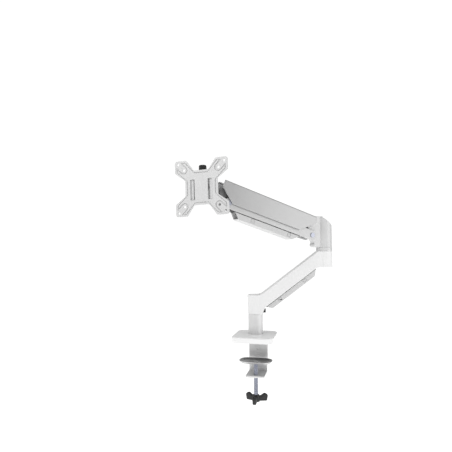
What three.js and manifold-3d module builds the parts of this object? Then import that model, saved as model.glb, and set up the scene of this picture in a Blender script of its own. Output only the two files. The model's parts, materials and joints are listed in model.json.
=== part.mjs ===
// Single monitor arm on a desk clamp, in millimetres, +Z up.
// The origin is on the pole's axis at the desk's surface. +X runs along the desk's rear edge and +Y away from
// the user. Each link is drawn in its own frame, +X along the link, and hung in nested groups at its joints.
import * as THREE from "three";
import { mergeVertices } from "three/addons/utils/BufferGeometryUtils.js";
import Module from "manifold-3d";

const wasm = await Module();
wasm.setup();

// ---------------------------------------------------------------- driving dimensions

// clearances and fastener sizes shared by every link
const FIT = 0.3; // between pieces that touch, seat or turn
const ROUND = 28; // sides of a large circle
const SMALL_ROUND = 14; // sides of a pin or screw
const RETAINER_R = 3; // retaining screws of both spindles
const RETAINER_HEAD_R = 6;
const RETAINER_HEAD = 3;
const RETAINER_DEPTH = 14;
const WASHER_DISC = 2;
const NUT_HEIGHT = 4.5;
const NUT_MARGIN = 3; // nuts and bolt heads beyond the shank's radius
const HUGE = 400; // longer than any piece, for cuts that go right through

// pose at rest, in degrees
const LOWER_ARM_YAW = 11.94;
const UPPER_ARM_YAW = 207.86; // from the lower arm's direction
const LINK_PITCH = 16.6;
const HEAD_PAN = 44.2; // from the upper arm's direction to the plate's normal
const PLATE_ROLL = 2;

// lengths between joint axes
const LOWER_ARM_REACH = 167.7;
const LINK_LENGTH = 230;
const PIVOT_OFFSET = 46; // elbow axis to the link pins
const PIN_SPACING = 34; // upper pins above lower pins
const HEAD_OFFSET = 30; // head pins to the pan axis
const TILT_OFFSET = 38; // pan axis to the tilt axis
const PLATE_OFFSET = 30; // tilt axis to the plate's front face

// base and desk clamp
const BASE_WIDTH = 98;
const BASE_FRONT = 63;
const BASE_BACK = 44;
const BASE_HEIGHT = 12.5;
const BASE_CORNER = 20;
const BASE_WALL = 2.5;
const BASE_EDGE = 1.5; // rounded upper edge of the cover
const DESK_PAD = 1.5;
const STEEL = 4; // clamp plate thickness
const BACK_PLATE_WIDTH = 47;
const BACK_PLATE_FACE = 39.3;
const BACK_PLATE_DROP = 62;
const TOP_LEG_FRONT = 46;
const LOWER_BRACKET_WIDTH = 45;
const LOWER_BRACKET_TOP = 17;
const FLANGE_DEPTH = 84.4; // desk surface down to the flange's top
const FLANGE_FRONT = 18;
const BRACKET_CORNER = 5;
const BRACKET_BOLT_R = 3;
const BRACKET_BOLT_HEAD_R = 5.5;
const BRACKET_BOLT_PITCH = 22;
const BRACKET_BOLT_TOP = 28;
const POLE_SCREW_R = 4;
const POLE_SCREW_HEAD_R = 7;
const POLE_SCREW_HEAD = 2;
const POLE_SCREW_DEPTH = 18;

// clamp screw, pressure dish and wing knob
const SCREW_R = 5;
const DISH_LENGTH = 80;
const DISH_DEPTH = 48;
const DISH_HEIGHT = 6;
const DISH_SHEET = 1.8;
const DISH_TOP = 50.8; // desk surface down to the dish's rim
const DISH_NECK_R = 3;
const RIVET_R = 6;
const RIVET_HEIGHT = 1.4;
const KNOB_TOP = 129; // desk surface down to the knob
const KNOB_HEIGHT = 20;
const KNOB_RADIUS = 30;
const KNOB_BLADE = 8.5;
const KNOB_HUB_R = 9.5;

// pole and lower arm
const POLE_R = 17.5;
const SPINDLE_R = 11;
const SOCKET_R = 19;
const SOCKET_BOTTOM = 60.6;
const SOCKET_TOP = 106;
const BUSH_WALL = 2.4;
const BUSH_LENGTH = 15;
const CAP_SEAT = 3;
const CAP_LEDGE = 1.5;
const FRICTION_SCREW_R = 5;
const FRICTION_SCREW_RISE = 6.9; // above the pole socket's mouth
const FRICTION_SCREW_PROUD = 5.5; // of the pole socket's side
const ELBOW_SOCKET_BOTTOM = 172.4;
const ELBOW_SOCKET_TOP = 211;
const WEB_HALF = 17.5;
const WEB_TOP_DROP = 0.5; // web's upper edge below the elbow socket's top corner
const WEB_BOTTOM_LEFT = 74; // height where the web's lower edge leaves the pole socket
const LOWER_CHANNEL_DEPTH = 13.3;
const LOWER_COVER_INSET = [2, 5]; // short of the web at each end
const LOWER_COVER_SLOPES = [11, 13]; // run of its slanted ends
const CABLE_COVER_HALF = 12.5;
const CABLE_COVER_WALL = 1.8;
const LOWER_CHANNEL_ENDS = [14, 10]; // solid web at each end of the cable channel
const LOWER_CHANNEL_RISE = 14;

// elbow
const RING_HEIGHT = 9;
const ELBOW_SPINDLE_R = 8;
const ELBOW_SPINDLE_TOP = 244;
const KNUCKLE_R = 18.6;
const KNUCKLE_SHORT_SIDE = 268; // height of the slanted top on the side away from the arm
const KNUCKLE_TOP = 295;
const TONGUE_HALF = 8.5;
const LOWER_PIN_HEIGHT = 249;
const PIN_R = 4;
const PIN_HEAD = 1.6; // beyond the pin's radius and the link's side
const TENSION_INSET = 17; // link pins to the tension screw
const TENSION_R = 2.5;
const TENSION_HEAD_R = 4.5;
const TENSION_HEAD = 5;
const TENSION_BLOCK = 5; // half its length and height
const TENSION_SLOT_HALF = 4.8;
const TENSION_SLOT_REACH = 11.8;

// upper arm
const COVER_HALF = 20;
const COVER_WALL = 2.4;
const COVER_ABOVE = 13; // cover's upper edge above the upper pin line
const COVER_BELOW = 33;
const COVER_BEVEL = 4;
const COVER_NOTCH = 8; // open ends of the cover, from each pin
const COVER_NOTCH_RIM = 3;
const LINK_SHEET = 2.5;
const WEB_END = 22; // link pins to the end of the upper link's web
const UPPER_LINK_ABOVE = 10;
const UPPER_LINK_BELOW = 9;
const LINK_SIDE_GAP = 0.6; // upper link to the cover's wall, and lower pin heads to it
const LOWER_LINK_ABOVE = 11;
const LOWER_LINK_BELOW = 12;
const LOWER_WEB_INSET = [28, 26]; // from each pin to the lower link's web
const UPPER_CHANNEL_DEPTH = 14.7;
const UPPER_CHANNEL_INSET = [32, 22]; // from each pin to the cable cover
const UPPER_CHANNEL_SLOPES = [19, 12]; // run of its slanted ends
const CYLINDER_R = 9;
const CYLINDER_SPAN = [11, 118]; // from the head pin
const ROD_R = 4;
const ROD_START = 72;
const ROD_BORE_START = 30;
const ROD_EYE_HALF = 4;
const STRUT_PIN_R = 3;
const ANCHOR_DROP = 17; // gas spring's elbow end below the upper pin
const ANCHOR_PIN_R = 2.5;
const STRUT_HEAD_X = 190; // gas spring's head end along the upper link
const STRUT_HEAD_Z = -3;
const CAP_HEADROOM = 2.1; // between the retaining screw's head and the pole's cap
const PIN_END_PLAY = 0.1; // of the lower pins, between their heads and the cover's walls
const STRUT_AIM = 1.4; // the rod's eye sits this far to the link's side of its anchor pin at rest
const OPEN_PIVOT = 3; // extra clearance of the rod's eye around its anchor pin

// head
const PLATE_CENTRE_DROP = 9.1; // plate centre below the head's upper pin
const HEAD_TONGUE_HALF = 8;
const LUG_R = 11;
const LUG_THICKNESS = 5;
const LUG_GAP = 10.5; // between the two lugs
const WASHER = 0.9;
const YOKE_SHEET = 3;
const YOKE_HALF = 11.5;
const YOKE_WEB = 22; // pan axis to the yoke's web
const PAN_R = 5;
const TILT_LUG_HALF = 9;
const TILT_LUG_R = 9;
const TILT_R = 4;
const CHEEK = 3;
const TILT_WEB_HEIGHT = 30;
const HUB_R = 12;
const HUB_FLANGE_R = 15.2;
const HUB_FLANGE = 2.2;
const HUB_BOLT_HEAD_R = 7.5;
const HUB_BOLT_HEAD = 2;

// VESA plate
const VESA_LARGE = 100;
const VESA_SMALL = 75;
const HOLE_LARGE_R = 2.5;
const HOLE_SMALL_R = 2.75;
const PLATE_HALF = 57.5;
const PLATE_TIP_INNER = 32; // where each tip's straight edge starts
const PLATE_WAIST = 35.5;
const PLATE_WAIST_FLAT = 16;
const PLATE_SHEET = 2;
const EMBOSS = 0.8;
const EMBOSS_INSET = 6;
const EMBOSS_NOTCH_R = 8;
const SLOT_CENTRE = 19;
const SLOT_WIDTH = 9.5;
const SLOT_HEIGHT = 42;
const SLOT_DROP = 4;
const FRAME_SHEET = 3;
const FRAME_HALF_WIDTH = 28;
const FRAME_HALF_HEIGHT = 30;
const RELEASE_R = 8;
const RELEASE_HEIGHT = 10;
const HOUSING_HALF = 6.5;
const HOUSING_Z = [19, 34];
const PLUNGER_R = 2.5;

// ---------------------------------------------------------------- solids

const deg = THREE.MathUtils.degToRad;

function solid(geometry) {
  const g = geometry.index ? geometry.toNonIndexed() : geometry.clone();
  g.deleteAttribute("normal");
  g.deleteAttribute("uv");
  const merged = mergeVertices(g, 1e-4);
  return new wasm.Manifold(
    new wasm.Mesh({
      numProp: 3,
      vertProperties: new Float32Array(merged.attributes.position.array),
      triVerts: new Uint32Array(merged.index.array),
    }),
  );
}

function geometryOf(manifold) {
  const mesh = manifold.getMesh();
  const indexed = new THREE.BufferGeometry();
  indexed.setAttribute("position", new THREE.BufferAttribute(mesh.vertProperties, 3));
  indexed.setIndex(new THREE.BufferAttribute(mesh.triVerts, 1));
  const flat = indexed.toNonIndexed();
  flat.computeVertexNormals();
  return flat;
}

const join = (first, ...rest) => rest.reduce((a, b) => a.add(b), first);
const cut = (first, ...rest) => rest.reduce((a, b) => a.subtract(b), first);

function box(x, y, z) {
  const g = new THREE.BoxGeometry(x[1] - x[0], y[1] - y[0], z[1] - z[0]);
  return solid(g.translate((x[0] + x[1]) / 2, (y[0] + y[1]) / 2, (z[0] + z[1]) / 2));
}

// a round bar between two heights, its axis through (x, y) along +Z
function barZ(r, z, x = 0, y = 0, sides = ROUND, topR = r) {
  const g = new THREE.CylinderGeometry(topR, r, z[1] - z[0], sides);
  return solid(g.rotateX(Math.PI / 2).translate(x, y, (z[0] + z[1]) / 2));
}

function barY(r, y, x = 0, z = 0, sides = SMALL_ROUND) {
  return solid(new THREE.CylinderGeometry(r, r, y[1] - y[0], sides).translate(x, (y[0] + y[1]) / 2, z));
}

function barX(r, x, y = 0, z = 0, sides = SMALL_ROUND) {
  const g = new THREE.CylinderGeometry(r, r, x[1] - x[0], sides);
  return solid(g.rotateZ(Math.PI / 2).translate((x[0] + x[1]) / 2, y, z));
}

// a bar between two points of the XZ plane
function strutBar(r, from, to, sides = SMALL_ROUND) {
  const dx = to[0] - from[0];
  const dz = to[1] - from[1];
  const g = new THREE.CylinderGeometry(r, r, Math.hypot(dx, dz), sides);
  g.rotateX(Math.PI / 2).rotateY(Math.atan2(dx, dz));
  return solid(g.translate((from[0] + to[0]) / 2, 0, (from[1] + to[1]) / 2));
}

function polygon(points) {
  return new THREE.Shape(points.map(([x, y]) => new THREE.Vector2(x, y)));
}

// a polygon whose corners are rounded: each point is [x, y, radius]
function rounded(points) {
  const shape = new THREE.Shape();
  points.forEach(([x, y, r = 0], i) => {
    const before = points.at(i - 1);
    const after = points[(i + 1) % points.length];
    const step = (to) => {
      const d = Math.hypot(to[0] - x, to[1] - y);
      return [x + ((to[0] - x) / d) * r, y + ((to[1] - y) / d) * r];
    };
    const [ax, ay] = step(before);
    const [bx, by] = step(after);
    if (i === 0) shape.moveTo(ax, ay);
    else shape.lineTo(ax, ay);
    if (r > 0) shape.quadraticCurveTo(x, y, bx, by);
  });
  shape.closePath();
  return shape;
}

function roundedRect(x, y, r) {
  return rounded([
    [x[0], y[0], r],
    [x[1], y[0], r],
    [x[1], y[1], r],
    [x[0], y[1], r],
  ]);
}

function extrude(shape, from, to, curveSegments = 4) {
  const g = new THREE.ExtrudeGeometry(shape, { depth: to - from, bevelEnabled: false, curveSegments });
  return g.translate(0, 0, from);
}

// shape drawn in (x, y), thick along +Z
const slabZ = (shape, from, to, segments) => solid(extrude(shape, from, to, segments));

// shape drawn in (x, z), thick along Y from -half to half
const slabY = (shape, half, segments) => solid(extrude(shape, -half, half, segments).rotateX(Math.PI / 2));

// shape drawn in (y, z), thick along +X
function slabX(shape, from, to, segments) {
  return solid(extrude(shape, from, to, segments).rotateY(Math.PI / 2).rotateX(Math.PI / 2));
}

// a solid whose edge slopes inwards by the same amount as it goes down
function tray(shape, height, z) {
  const g = new THREE.ExtrudeGeometry(shape, {
    depth: FIT,
    bevelThickness: height,
    bevelSize: height,
    bevelOffset: -height,
    bevelSegments: 2,
    curveSegments: 6,
  });
  const keep = box([-HUGE, HUGE], [-HUGE, HUGE], [z - height - FIT, z]);
  return solid(g.translate(0, 0, z)).intersect(keep);
}

// ---------------------------------------------------------------- materials

const finish = (color, roughness, metalness) => ({ color, roughness, metalness });
const WHITE_PAINT = finish(0xf0f0f0, 0.4, 0.1);
const SILVER_PAINT = finish(0xc9c9ca, 0.38, 0.5);
const PALE_PLASTIC = finish(0xd2d2d3, 0.5, 0.0);
const GLOSS_WHITE = finish(0xf4f4f4, 0.15, 0.0);
const SATIN_STEEL = finish(0xb4b5b8, 0.35, 0.9);
const BLUE_STEEL = finish(0xa8acb8, 0.3, 0.95);
const DARK_METAL = finish(0x5a5a5c, 0.5, 0.6);
const BLACK_PLASTIC = finish(0x2a2a2a, 0.55, 0.0);
const NYLON = finish(0xe6e4dc, 0.6, 0.0);
const RUBBER = finish(0x3a3a3a, 0.9, 0.0);

function add(group, name, manifold, look) {
  const mesh = new THREE.Mesh(geometryOf(manifold), new THREE.MeshStandardMaterial(look));
  mesh.name = name;
  group.add(mesh);
}

function frameAt(parent, x, y, z) {
  const group = new THREE.Group();
  group.position.set(x, y, z);
  parent.add(group);
  return group;
}

const arm = new THREE.Group();

// ---------------------------------------------------------------- base and desk clamp

const bracketZ = DESK_PAD + FIT;
const bracketTop = bracketZ + STEEL;
const legFace = BACK_PLATE_FACE - FIT - STEEL;
const poleTop = SOCKET_BOTTOM - FIT;
const spindleTop = SOCKET_TOP - CAP_SEAT - RETAINER_HEAD - WASHER_DISC - 3 * FIT - CAP_HEADROOM;
const boltHeights = [0, 1].map((i) => -BRACKET_BOLT_TOP - i * BRACKET_BOLT_PITCH);

function baseOutline(inset) {
  const half = BASE_WIDTH / 2 - inset;
  return roundedRect([-half, half], [-BASE_FRONT + inset, BASE_BACK - inset], BASE_CORNER - inset / 2);
}

function baseCover() {
  const outer = solid(
    new THREE.ExtrudeGeometry(baseOutline(0), {
      depth: BASE_HEIGHT - 2 * BASE_EDGE,
      bevelThickness: BASE_EDGE,
      bevelSize: BASE_EDGE,
      bevelOffset: -BASE_EDGE,
      bevelSegments: 2,
      curveSegments: 7,
    }).translate(0, 0, BASE_EDGE + FIT),
  );
  const lower = box([-HUGE, HUGE], [-HUGE, HUGE], [FIT, BASE_HEIGHT + FIT]);
  const straightFoot = slabZ(baseOutline(0), FIT, BASE_HEIGHT / 2, 7);
  const inside = slabZ(baseOutline(BASE_WALL), -1, BASE_HEIGHT - BASE_WALL, 7);
  const notchHalf = BACK_PLATE_WIDTH / 2 + FIT;
  const notch = box([-notchHalf, notchHalf], [BACK_PLATE_FACE - FIT, BASE_BACK + 1], [-1, bracketTop + FIT]);
  const poleHole = barZ(POLE_R + FIT, [0, BASE_HEIGHT + 2]);
  return cut(join(outer.intersect(lower), straightFoot), inside, notch, poleHole);
}

function topBracket() {
  const back = BACK_PLATE_FACE + STEEL;
  const profile = rounded([
    [-TOP_LEG_FRONT, bracketZ],
    [BACK_PLATE_FACE, bracketZ, 1],
    [BACK_PLATE_FACE, -BACK_PLATE_DROP],
    [back, -BACK_PLATE_DROP],
    [back, bracketTop, STEEL],
    [-TOP_LEG_FRONT, bracketTop],
  ]);
  const plate = slabX(profile, -BACK_PLATE_WIDTH / 2, BACK_PLATE_WIDTH / 2);
  const holes = boltHeights.map((z) => barY(BRACKET_BOLT_R + FIT, [back - 2 * STEEL, back + 1], 0, z));
  const poleScrewHole = barZ(POLE_SCREW_R + FIT, [0, bracketTop + 1], 0, 0, SMALL_ROUND);
  const sink = barZ(POLE_SCREW_HEAD_R + FIT, [bracketZ - 1, bracketZ + POLE_SCREW_HEAD], 0, 0, SMALL_ROUND);
  return cut(plate, ...holes, poleScrewHole, sink);
}

function lowerBracket() {
  const low = -FLANGE_DEPTH - STEEL;
  const face = legFace + STEEL;
  const profile = rounded([
    [-FLANGE_FRONT, low],
    [face, low, STEEL + 1],
    [face, -LOWER_BRACKET_TOP],
    [legFace, -LOWER_BRACKET_TOP],
    [legFace, -FLANGE_DEPTH, 1],
    [-FLANGE_FRONT, -FLANGE_DEPTH],
  ]);
  const half = LOWER_BRACKET_WIDTH / 2;
  const front = rounded([
    [-half, low - 1],
    [half, low - 1],
    [half, -LOWER_BRACKET_TOP, BRACKET_CORNER],
    [-half, -LOWER_BRACKET_TOP, BRACKET_CORNER],
  ]);
  const plan = roundedRect([-half, half], [-FLANGE_FRONT, face + BRACKET_CORNER], BRACKET_CORNER / 2);
  const holes = boltHeights.flatMap((z) => [
    barY(BRACKET_BOLT_R + FIT, [legFace - 1, face + 1], 0, z),
    barY(BRACKET_BOLT_HEAD_R + FIT, [legFace - 1, legFace + STEEL / 2], 0, z),
  ]);
  return cut(
    slabX(profile, -half, half)
      .intersect(slabY(front, BASE_WIDTH))
      .intersect(slabZ(plan, low - 1, 0)),
    ...holes,
    barZ(SCREW_R + FIT, [low - 1, -FLANGE_DEPTH + 1], 0, 0, SMALL_ROUND),
  );
}

function bracketBolt(z) {
  const head = barY(BRACKET_BOLT_HEAD_R, [legFace + FIT, legFace + STEEL / 2 - FIT], 0, z);
  const shank = barY(BRACKET_BOLT_R, [legFace + FIT, BACK_PLATE_FACE + STEEL - FIT], 0, z);
  const key = slabY(hexagon(BRACKET_BOLT_R * 0.6, 0, z), 1).translate([0, legFace + FIT, 0]);
  return cut(join(head, shank), key);
}

function hexagon(r, x = 0, y = 0) {
  const corner = (i) => [x + r * Math.cos((i * Math.PI) / 3), y + r * Math.sin((i * Math.PI) / 3)];
  return polygon([0, 1, 2, 3, 4, 5].map(corner));
}

function poleScrew() {
  const head = barZ(POLE_SCREW_HEAD_R, [bracketZ, bracketZ + POLE_SCREW_HEAD - FIT], 0, 0, SMALL_ROUND);
  const shank = barZ(POLE_SCREW_R, [bracketZ, bracketTop + POLE_SCREW_DEPTH], 0, 0, SMALL_ROUND);
  return cut(join(head, shank), slabZ(hexagon(POLE_SCREW_R * 0.6), bracketZ - 1, bracketZ + 1));
}

function deskPad() {
  const beforeBackPlate = box([-HUGE, HUGE], [-BASE_WIDTH, BACK_PLATE_FACE - 1], [-1, BASE_HEIGHT]);
  return slabZ(baseOutline(BASE_WALL + FIT), 0, DESK_PAD, 6).intersect(beforeBackPlate);
}

add(arm, "base_cover", baseCover(), GLOSS_WHITE);
add(arm, "desk_pad", deskPad(), RUBBER);
add(arm, "top_bracket", topBracket(), SATIN_STEEL);
add(arm, "lower_bracket", lowerBracket(), SATIN_STEEL);
add(arm, "bracket_bolt_upper", bracketBolt(boltHeights[0]), SATIN_STEEL);
add(arm, "bracket_bolt_lower", bracketBolt(boltHeights[1]), SATIN_STEEL);
add(arm, "pole_screw", poleScrew(), SATIN_STEEL);

// the pressure dish rides up and down with the screw, which turns in it
function pressureDish() {
  const outline = (inset) => {
    const x = DISH_LENGTH / 2 - inset;
    const y = DISH_DEPTH / 2 - inset;
    return roundedRect([-x, x], [-y, y], y * 0.95);
  };
  const shell = cut(
    tray(outline(0), DISH_HEIGHT, -DISH_TOP),
    tray(outline(DISH_SHEET), DISH_HEIGHT - DISH_SHEET, -DISH_TOP + FIT / 2),
  );
  return cut(shell, barZ(DISH_NECK_R + FIT, [-DISH_TOP - 2 * DISH_HEIGHT, -DISH_TOP], 0, 0, SMALL_ROUND));
}

const dishFloor = -DISH_TOP - DISH_HEIGHT;
const neckTop = dishFloor + DISH_SHEET + 2 * FIT;

function clampScrew() {
  const rod = barZ(SCREW_R, [-KNOB_TOP - KNOB_HEIGHT / 2, dishFloor - FIT], 0, 0, SMALL_ROUND);
  const neck = barZ(DISH_NECK_R, [dishFloor - 1, neckTop], 0, 0, SMALL_ROUND);
  return join(rod, neck);
}

// the riveted end that keeps the dish on the screw
function dishRivet() {
  const z = neckTop + FIT;
  return barZ(RIVET_R, [z, z + RIVET_HEIGHT], 0, 0, SMALL_ROUND, RIVET_R - 1);
}

function wingKnob() {
  const z = [-KNOB_TOP - KNOB_HEIGHT, -KNOB_TOP];
  const wing = (angle) => {
    const r = KNOB_RADIUS;
    const blade = rounded([
      [0, z[0] + 2, 1],
      [r - 3, z[0], 3],
      [r, z[1] - 5, 4],
      [r - 7, z[1], 4],
      [KNOB_HUB_R + 2, z[1] - 6, 3],
      [0, z[1] - 6],
    ]);
    return slabY(blade, KNOB_BLADE / 2, 4).rotate([0, 0, angle]);
  };
  const hub = barZ(KNOB_HUB_R, [z[0] + 1, z[1] - 2], 0, 0, SMALL_ROUND, KNOB_HUB_R - 1.5);
  const bore = barZ(SCREW_R + FIT, [-KNOB_TOP - KNOB_HEIGHT / 2 - FIT, 0], 0, 0, SMALL_ROUND);
  return cut(join(hub, wing(-90), wing(30), wing(150)), bore);
}

add(arm, "pressure_dish", pressureDish(), SATIN_STEEL);
add(arm, "dish_rivet", dishRivet(), SATIN_STEEL);
add(arm, "clamp_screw", clampScrew(), BLUE_STEEL);
add(arm, "wing_knob", wingKnob(), BLACK_PLASTIC);

// ---------------------------------------------------------------- pole

const retainerBore = (z0, z1) => barZ(RETAINER_R + FIT, [z0, z1], 0, 0, SMALL_ROUND);

function poleSpindle() {
  const bar = barZ(SPINDLE_R, [bracketTop + FIT, spindleTop]);
  const low = barZ(POLE_SCREW_R + FIT, [0, bracketTop + POLE_SCREW_DEPTH + FIT], 0, 0, SMALL_ROUND);
  return cut(bar, low, retainerBore(spindleTop - RETAINER_DEPTH - FIT, spindleTop + 1));
}

function retainerScrew(z) {
  const head = barZ(RETAINER_HEAD_R, [z, z + RETAINER_HEAD], 0, 0, SMALL_ROUND);
  const shank = barZ(RETAINER_R, [z - WASHER_DISC - RETAINER_DEPTH, z + 1], 0, 0, SMALL_ROUND);
  return cut(join(head, shank), slabZ(hexagon(RETAINER_R), z + 1.5, z + 4));
}

const poleSocketBore = SPINDLE_R + BUSH_WALL + 2 * FIT;
const poleWasherZ = spindleTop + FIT;
const poleRetainerZ = poleWasherZ + WASHER_DISC + FIT;

function bush(inner, outer, z) {
  return cut(barZ(outer, z), barZ(inner, [z[0] - 1, z[1] + 1]));
}

const poleTube = cut(barZ(POLE_R, [bracketTop + FIT, poleTop]), barZ(SPINDLE_R + FIT, [0, poleTop + 1]));
const poleWasher = bush(RETAINER_R + FIT, poleSocketBore - 1, [poleWasherZ, poleWasherZ + WASHER_DISC]);
add(arm, "pole", poleTube, SATIN_STEEL);
add(arm, "pole_spindle", poleSpindle(), SATIN_STEEL);
add(arm, "pole_washer", poleWasher, SATIN_STEEL);
add(arm, "pole_retaining_screw", retainerScrew(poleRetainerZ), SATIN_STEEL);

// ---------------------------------------------------------------- lower arm

const lowerArm = new THREE.Group();
lowerArm.rotation.z = deg(LOWER_ARM_YAW);
arm.add(lowerArm);

const elbowLeft = LOWER_ARM_REACH - SOCKET_R;
const webTopRight = ELBOW_SOCKET_TOP - WEB_TOP_DROP;
const webSlope = (ELBOW_SOCKET_BOTTOM - WEB_BOTTOM_LEFT) / (elbowLeft - SOCKET_R);
const webBottom = (x) => WEB_BOTTOM_LEFT + webSlope * (x - SOCKET_R);
const webAngle = Math.atan(webSlope);

function lowerArmShell() {
  const curveStart = 1;
  const curveEnd = 16;
  const topAt = (x) => webTopRight - webSlope * (elbowLeft + 1 - x);
  const side = new THREE.Shape();
  side.moveTo(0, SOCKET_BOTTOM);
  side.lineTo(SOCKET_R - 4, SOCKET_BOTTOM);
  side.quadraticCurveTo(SOCKET_R, SOCKET_BOTTOM + 8, SOCKET_R + 4, webBottom(SOCKET_R + 4));
  side.lineTo(elbowLeft - 3, webBottom(elbowLeft - 3));
  side.quadraticCurveTo(elbowLeft, ELBOW_SOCKET_BOTTOM, elbowLeft + 5, ELBOW_SOCKET_BOTTOM);
  side.lineTo(LOWER_ARM_REACH, ELBOW_SOCKET_BOTTOM);
  side.lineTo(LOWER_ARM_REACH, ELBOW_SOCKET_TOP);
  side.lineTo(elbowLeft + 2, ELBOW_SOCKET_TOP);
  side.lineTo(elbowLeft + 1, webTopRight);
  side.lineTo(curveEnd, topAt(curveEnd));
  side.quadraticCurveTo((curveStart + curveEnd) / 2, SOCKET_TOP, curveStart, SOCKET_TOP);
  side.lineTo(0, SOCKET_TOP);
  side.closePath();
  const poleSocket = barZ(SOCKET_R, [SOCKET_BOTTOM, SOCKET_TOP]);
  const elbowSocket = barZ(SOCKET_R, [ELBOW_SOCKET_BOTTOM, ELBOW_SOCKET_TOP], LOWER_ARM_REACH);
  const body = join(slabY(side, WEB_HALF), poleSocket, elbowSocket);
  const channelIn = SOCKET_R + LOWER_CHANNEL_ENDS[0];
  const channelOut = elbowLeft - LOWER_CHANNEL_ENDS[1];
  const rise = LOWER_CHANNEL_RISE;
  const channel = slabY(
    polygon([
      [channelIn, webBottom(channelIn) - 5],
      [channelOut, webBottom(channelOut) - 5],
      [channelOut, webBottom(channelOut) + rise],
      [channelIn, webBottom(channelIn) + rise],
    ]),
    CABLE_COVER_HALF - 2 * CABLE_COVER_WALL,
  );
  return cut(
    body,
    barZ(poleSocketBore, [0, SOCKET_TOP - CAP_SEAT - 0.01]),
    barZ(poleSocketBore + CAP_LEDGE, [SOCKET_TOP - CAP_SEAT, HUGE]),
    barZ(elbowSocketBore, [0, ELBOW_SOCKET_TOP + 1], LOWER_ARM_REACH),
    barX(FRICTION_SCREW_R + FIT, [0, SOCKET_R + 12], 0, frictionScrewZ),
    channel,
  );
}

const frictionScrewZ = SOCKET_BOTTOM + FRICTION_SCREW_RISE;
const elbowSocketBore = ELBOW_SPINDLE_R + BUSH_WALL + 2 * FIT;

function poleCap() {
  const r = poleSocketBore + CAP_LEDGE - FIT;
  return barZ(r, [SOCKET_TOP - CAP_SEAT + FIT, SOCKET_TOP - FIT], 0, 0, ROUND, r - 0.6);
}

function frictionScrew() {
  const x = [poleSocketBore + FIT, SOCKET_R + FRICTION_SCREW_PROUD];
  const screw = barX(FRICTION_SCREW_R, x, 0, frictionScrewZ);
  return cut(screw, slabX(hexagon(FRICTION_SCREW_R * 0.55, 0, frictionScrewZ), x[1] - 2.5, x[1] + 1));
}

// a clip-on channel, open on top and at both ends, drawn below the line z = 0
function cableCover(x, endSlopes, depth, half, wall) {
  const outer = polygon([
    [x[0], -FIT],
    [x[0] + endSlopes[0], -depth],
    [x[1] - endSlopes[1], -depth],
    [x[1], -FIT],
  ]);
  const inner = box([x[0] - 1, x[1] + 1], [wall - half, half - wall], [wall - depth, 1]);
  return cut(slabY(outer, half), inner);
}

function lowerCableCover(group) {
  const x0 = SOCKET_R + 4;
  const holder = frameAt(group, x0, 0, webBottom(x0));
  holder.rotation.y = -webAngle;
  const length = (elbowLeft - x0) / Math.cos(webAngle);
  const span = [LOWER_COVER_INSET[0], length - LOWER_COVER_INSET[1]];
  const depth = LOWER_CHANNEL_DEPTH;
  const cover = cableCover(span, LOWER_COVER_SLOPES, depth, CABLE_COVER_HALF, CABLE_COVER_WALL);
  add(holder, "lower_cable_cover", cover, PALE_PLASTIC);
}

add(lowerArm, "lower_arm_shell", lowerArmShell(), WHITE_PAINT);
add(lowerArm, "pole_cap", poleCap(), WHITE_PAINT);
add(lowerArm, "friction_screw", frictionScrew(), BLACK_PLASTIC);
const bushOuter = poleSocketBore - FIT;
const poleBush = (z) => bush(SPINDLE_R + FIT, bushOuter, z);
add(lowerArm, "pole_bush_lower", poleBush([SOCKET_BOTTOM + FIT, SOCKET_BOTTOM + BUSH_LENGTH]), NYLON);
add(lowerArm, "pole_bush_upper", poleBush([spindleTop - BUSH_LENGTH, spindleTop - FIT]), NYLON);
lowerCableCover(lowerArm);

// ---------------------------------------------------------------- elbow

const elbow = frameAt(lowerArm, LOWER_ARM_REACH, 0, 0);
elbow.rotation.z = deg(UPPER_ARM_YAW);

const ringZ = [ELBOW_SOCKET_TOP + FIT, ELBOW_SOCKET_TOP + RING_HEIGHT];
const knuckleBase = ringZ[1] + FIT;
const upperPinHeight = LOWER_PIN_HEIGHT + PIN_SPACING;
const elbowSpindleBottom = ELBOW_SOCKET_BOTTOM + 7;
const elbowWasherZ = elbowSpindleBottom - FIT - WASHER_DISC;
const anchorZ = upperPinHeight - ANCHOR_DROP;
const tensionX = PIVOT_OFFSET - TENSION_INSET;
const tensionFoot = anchorZ - TENSION_SLOT_REACH - 4;

function elbowSpindle() {
  const bar = barZ(ELBOW_SPINDLE_R, [elbowSpindleBottom, ELBOW_SPINDLE_TOP]);
  return cut(bar, retainerBore(0, elbowSpindleBottom + RETAINER_DEPTH + FIT));
}

function elbowRetainer() {
  const z = elbowWasherZ - FIT;
  const head = barZ(RETAINER_HEAD_R, [z - RETAINER_HEAD, z], 0, 0, SMALL_ROUND);
  const shank = barZ(RETAINER_R, [z - 1, elbowSpindleBottom + RETAINER_DEPTH], 0, 0, SMALL_ROUND);
  return cut(join(head, shank), slabZ(hexagon(RETAINER_R), z - 4, z - 1.5));
}

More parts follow.
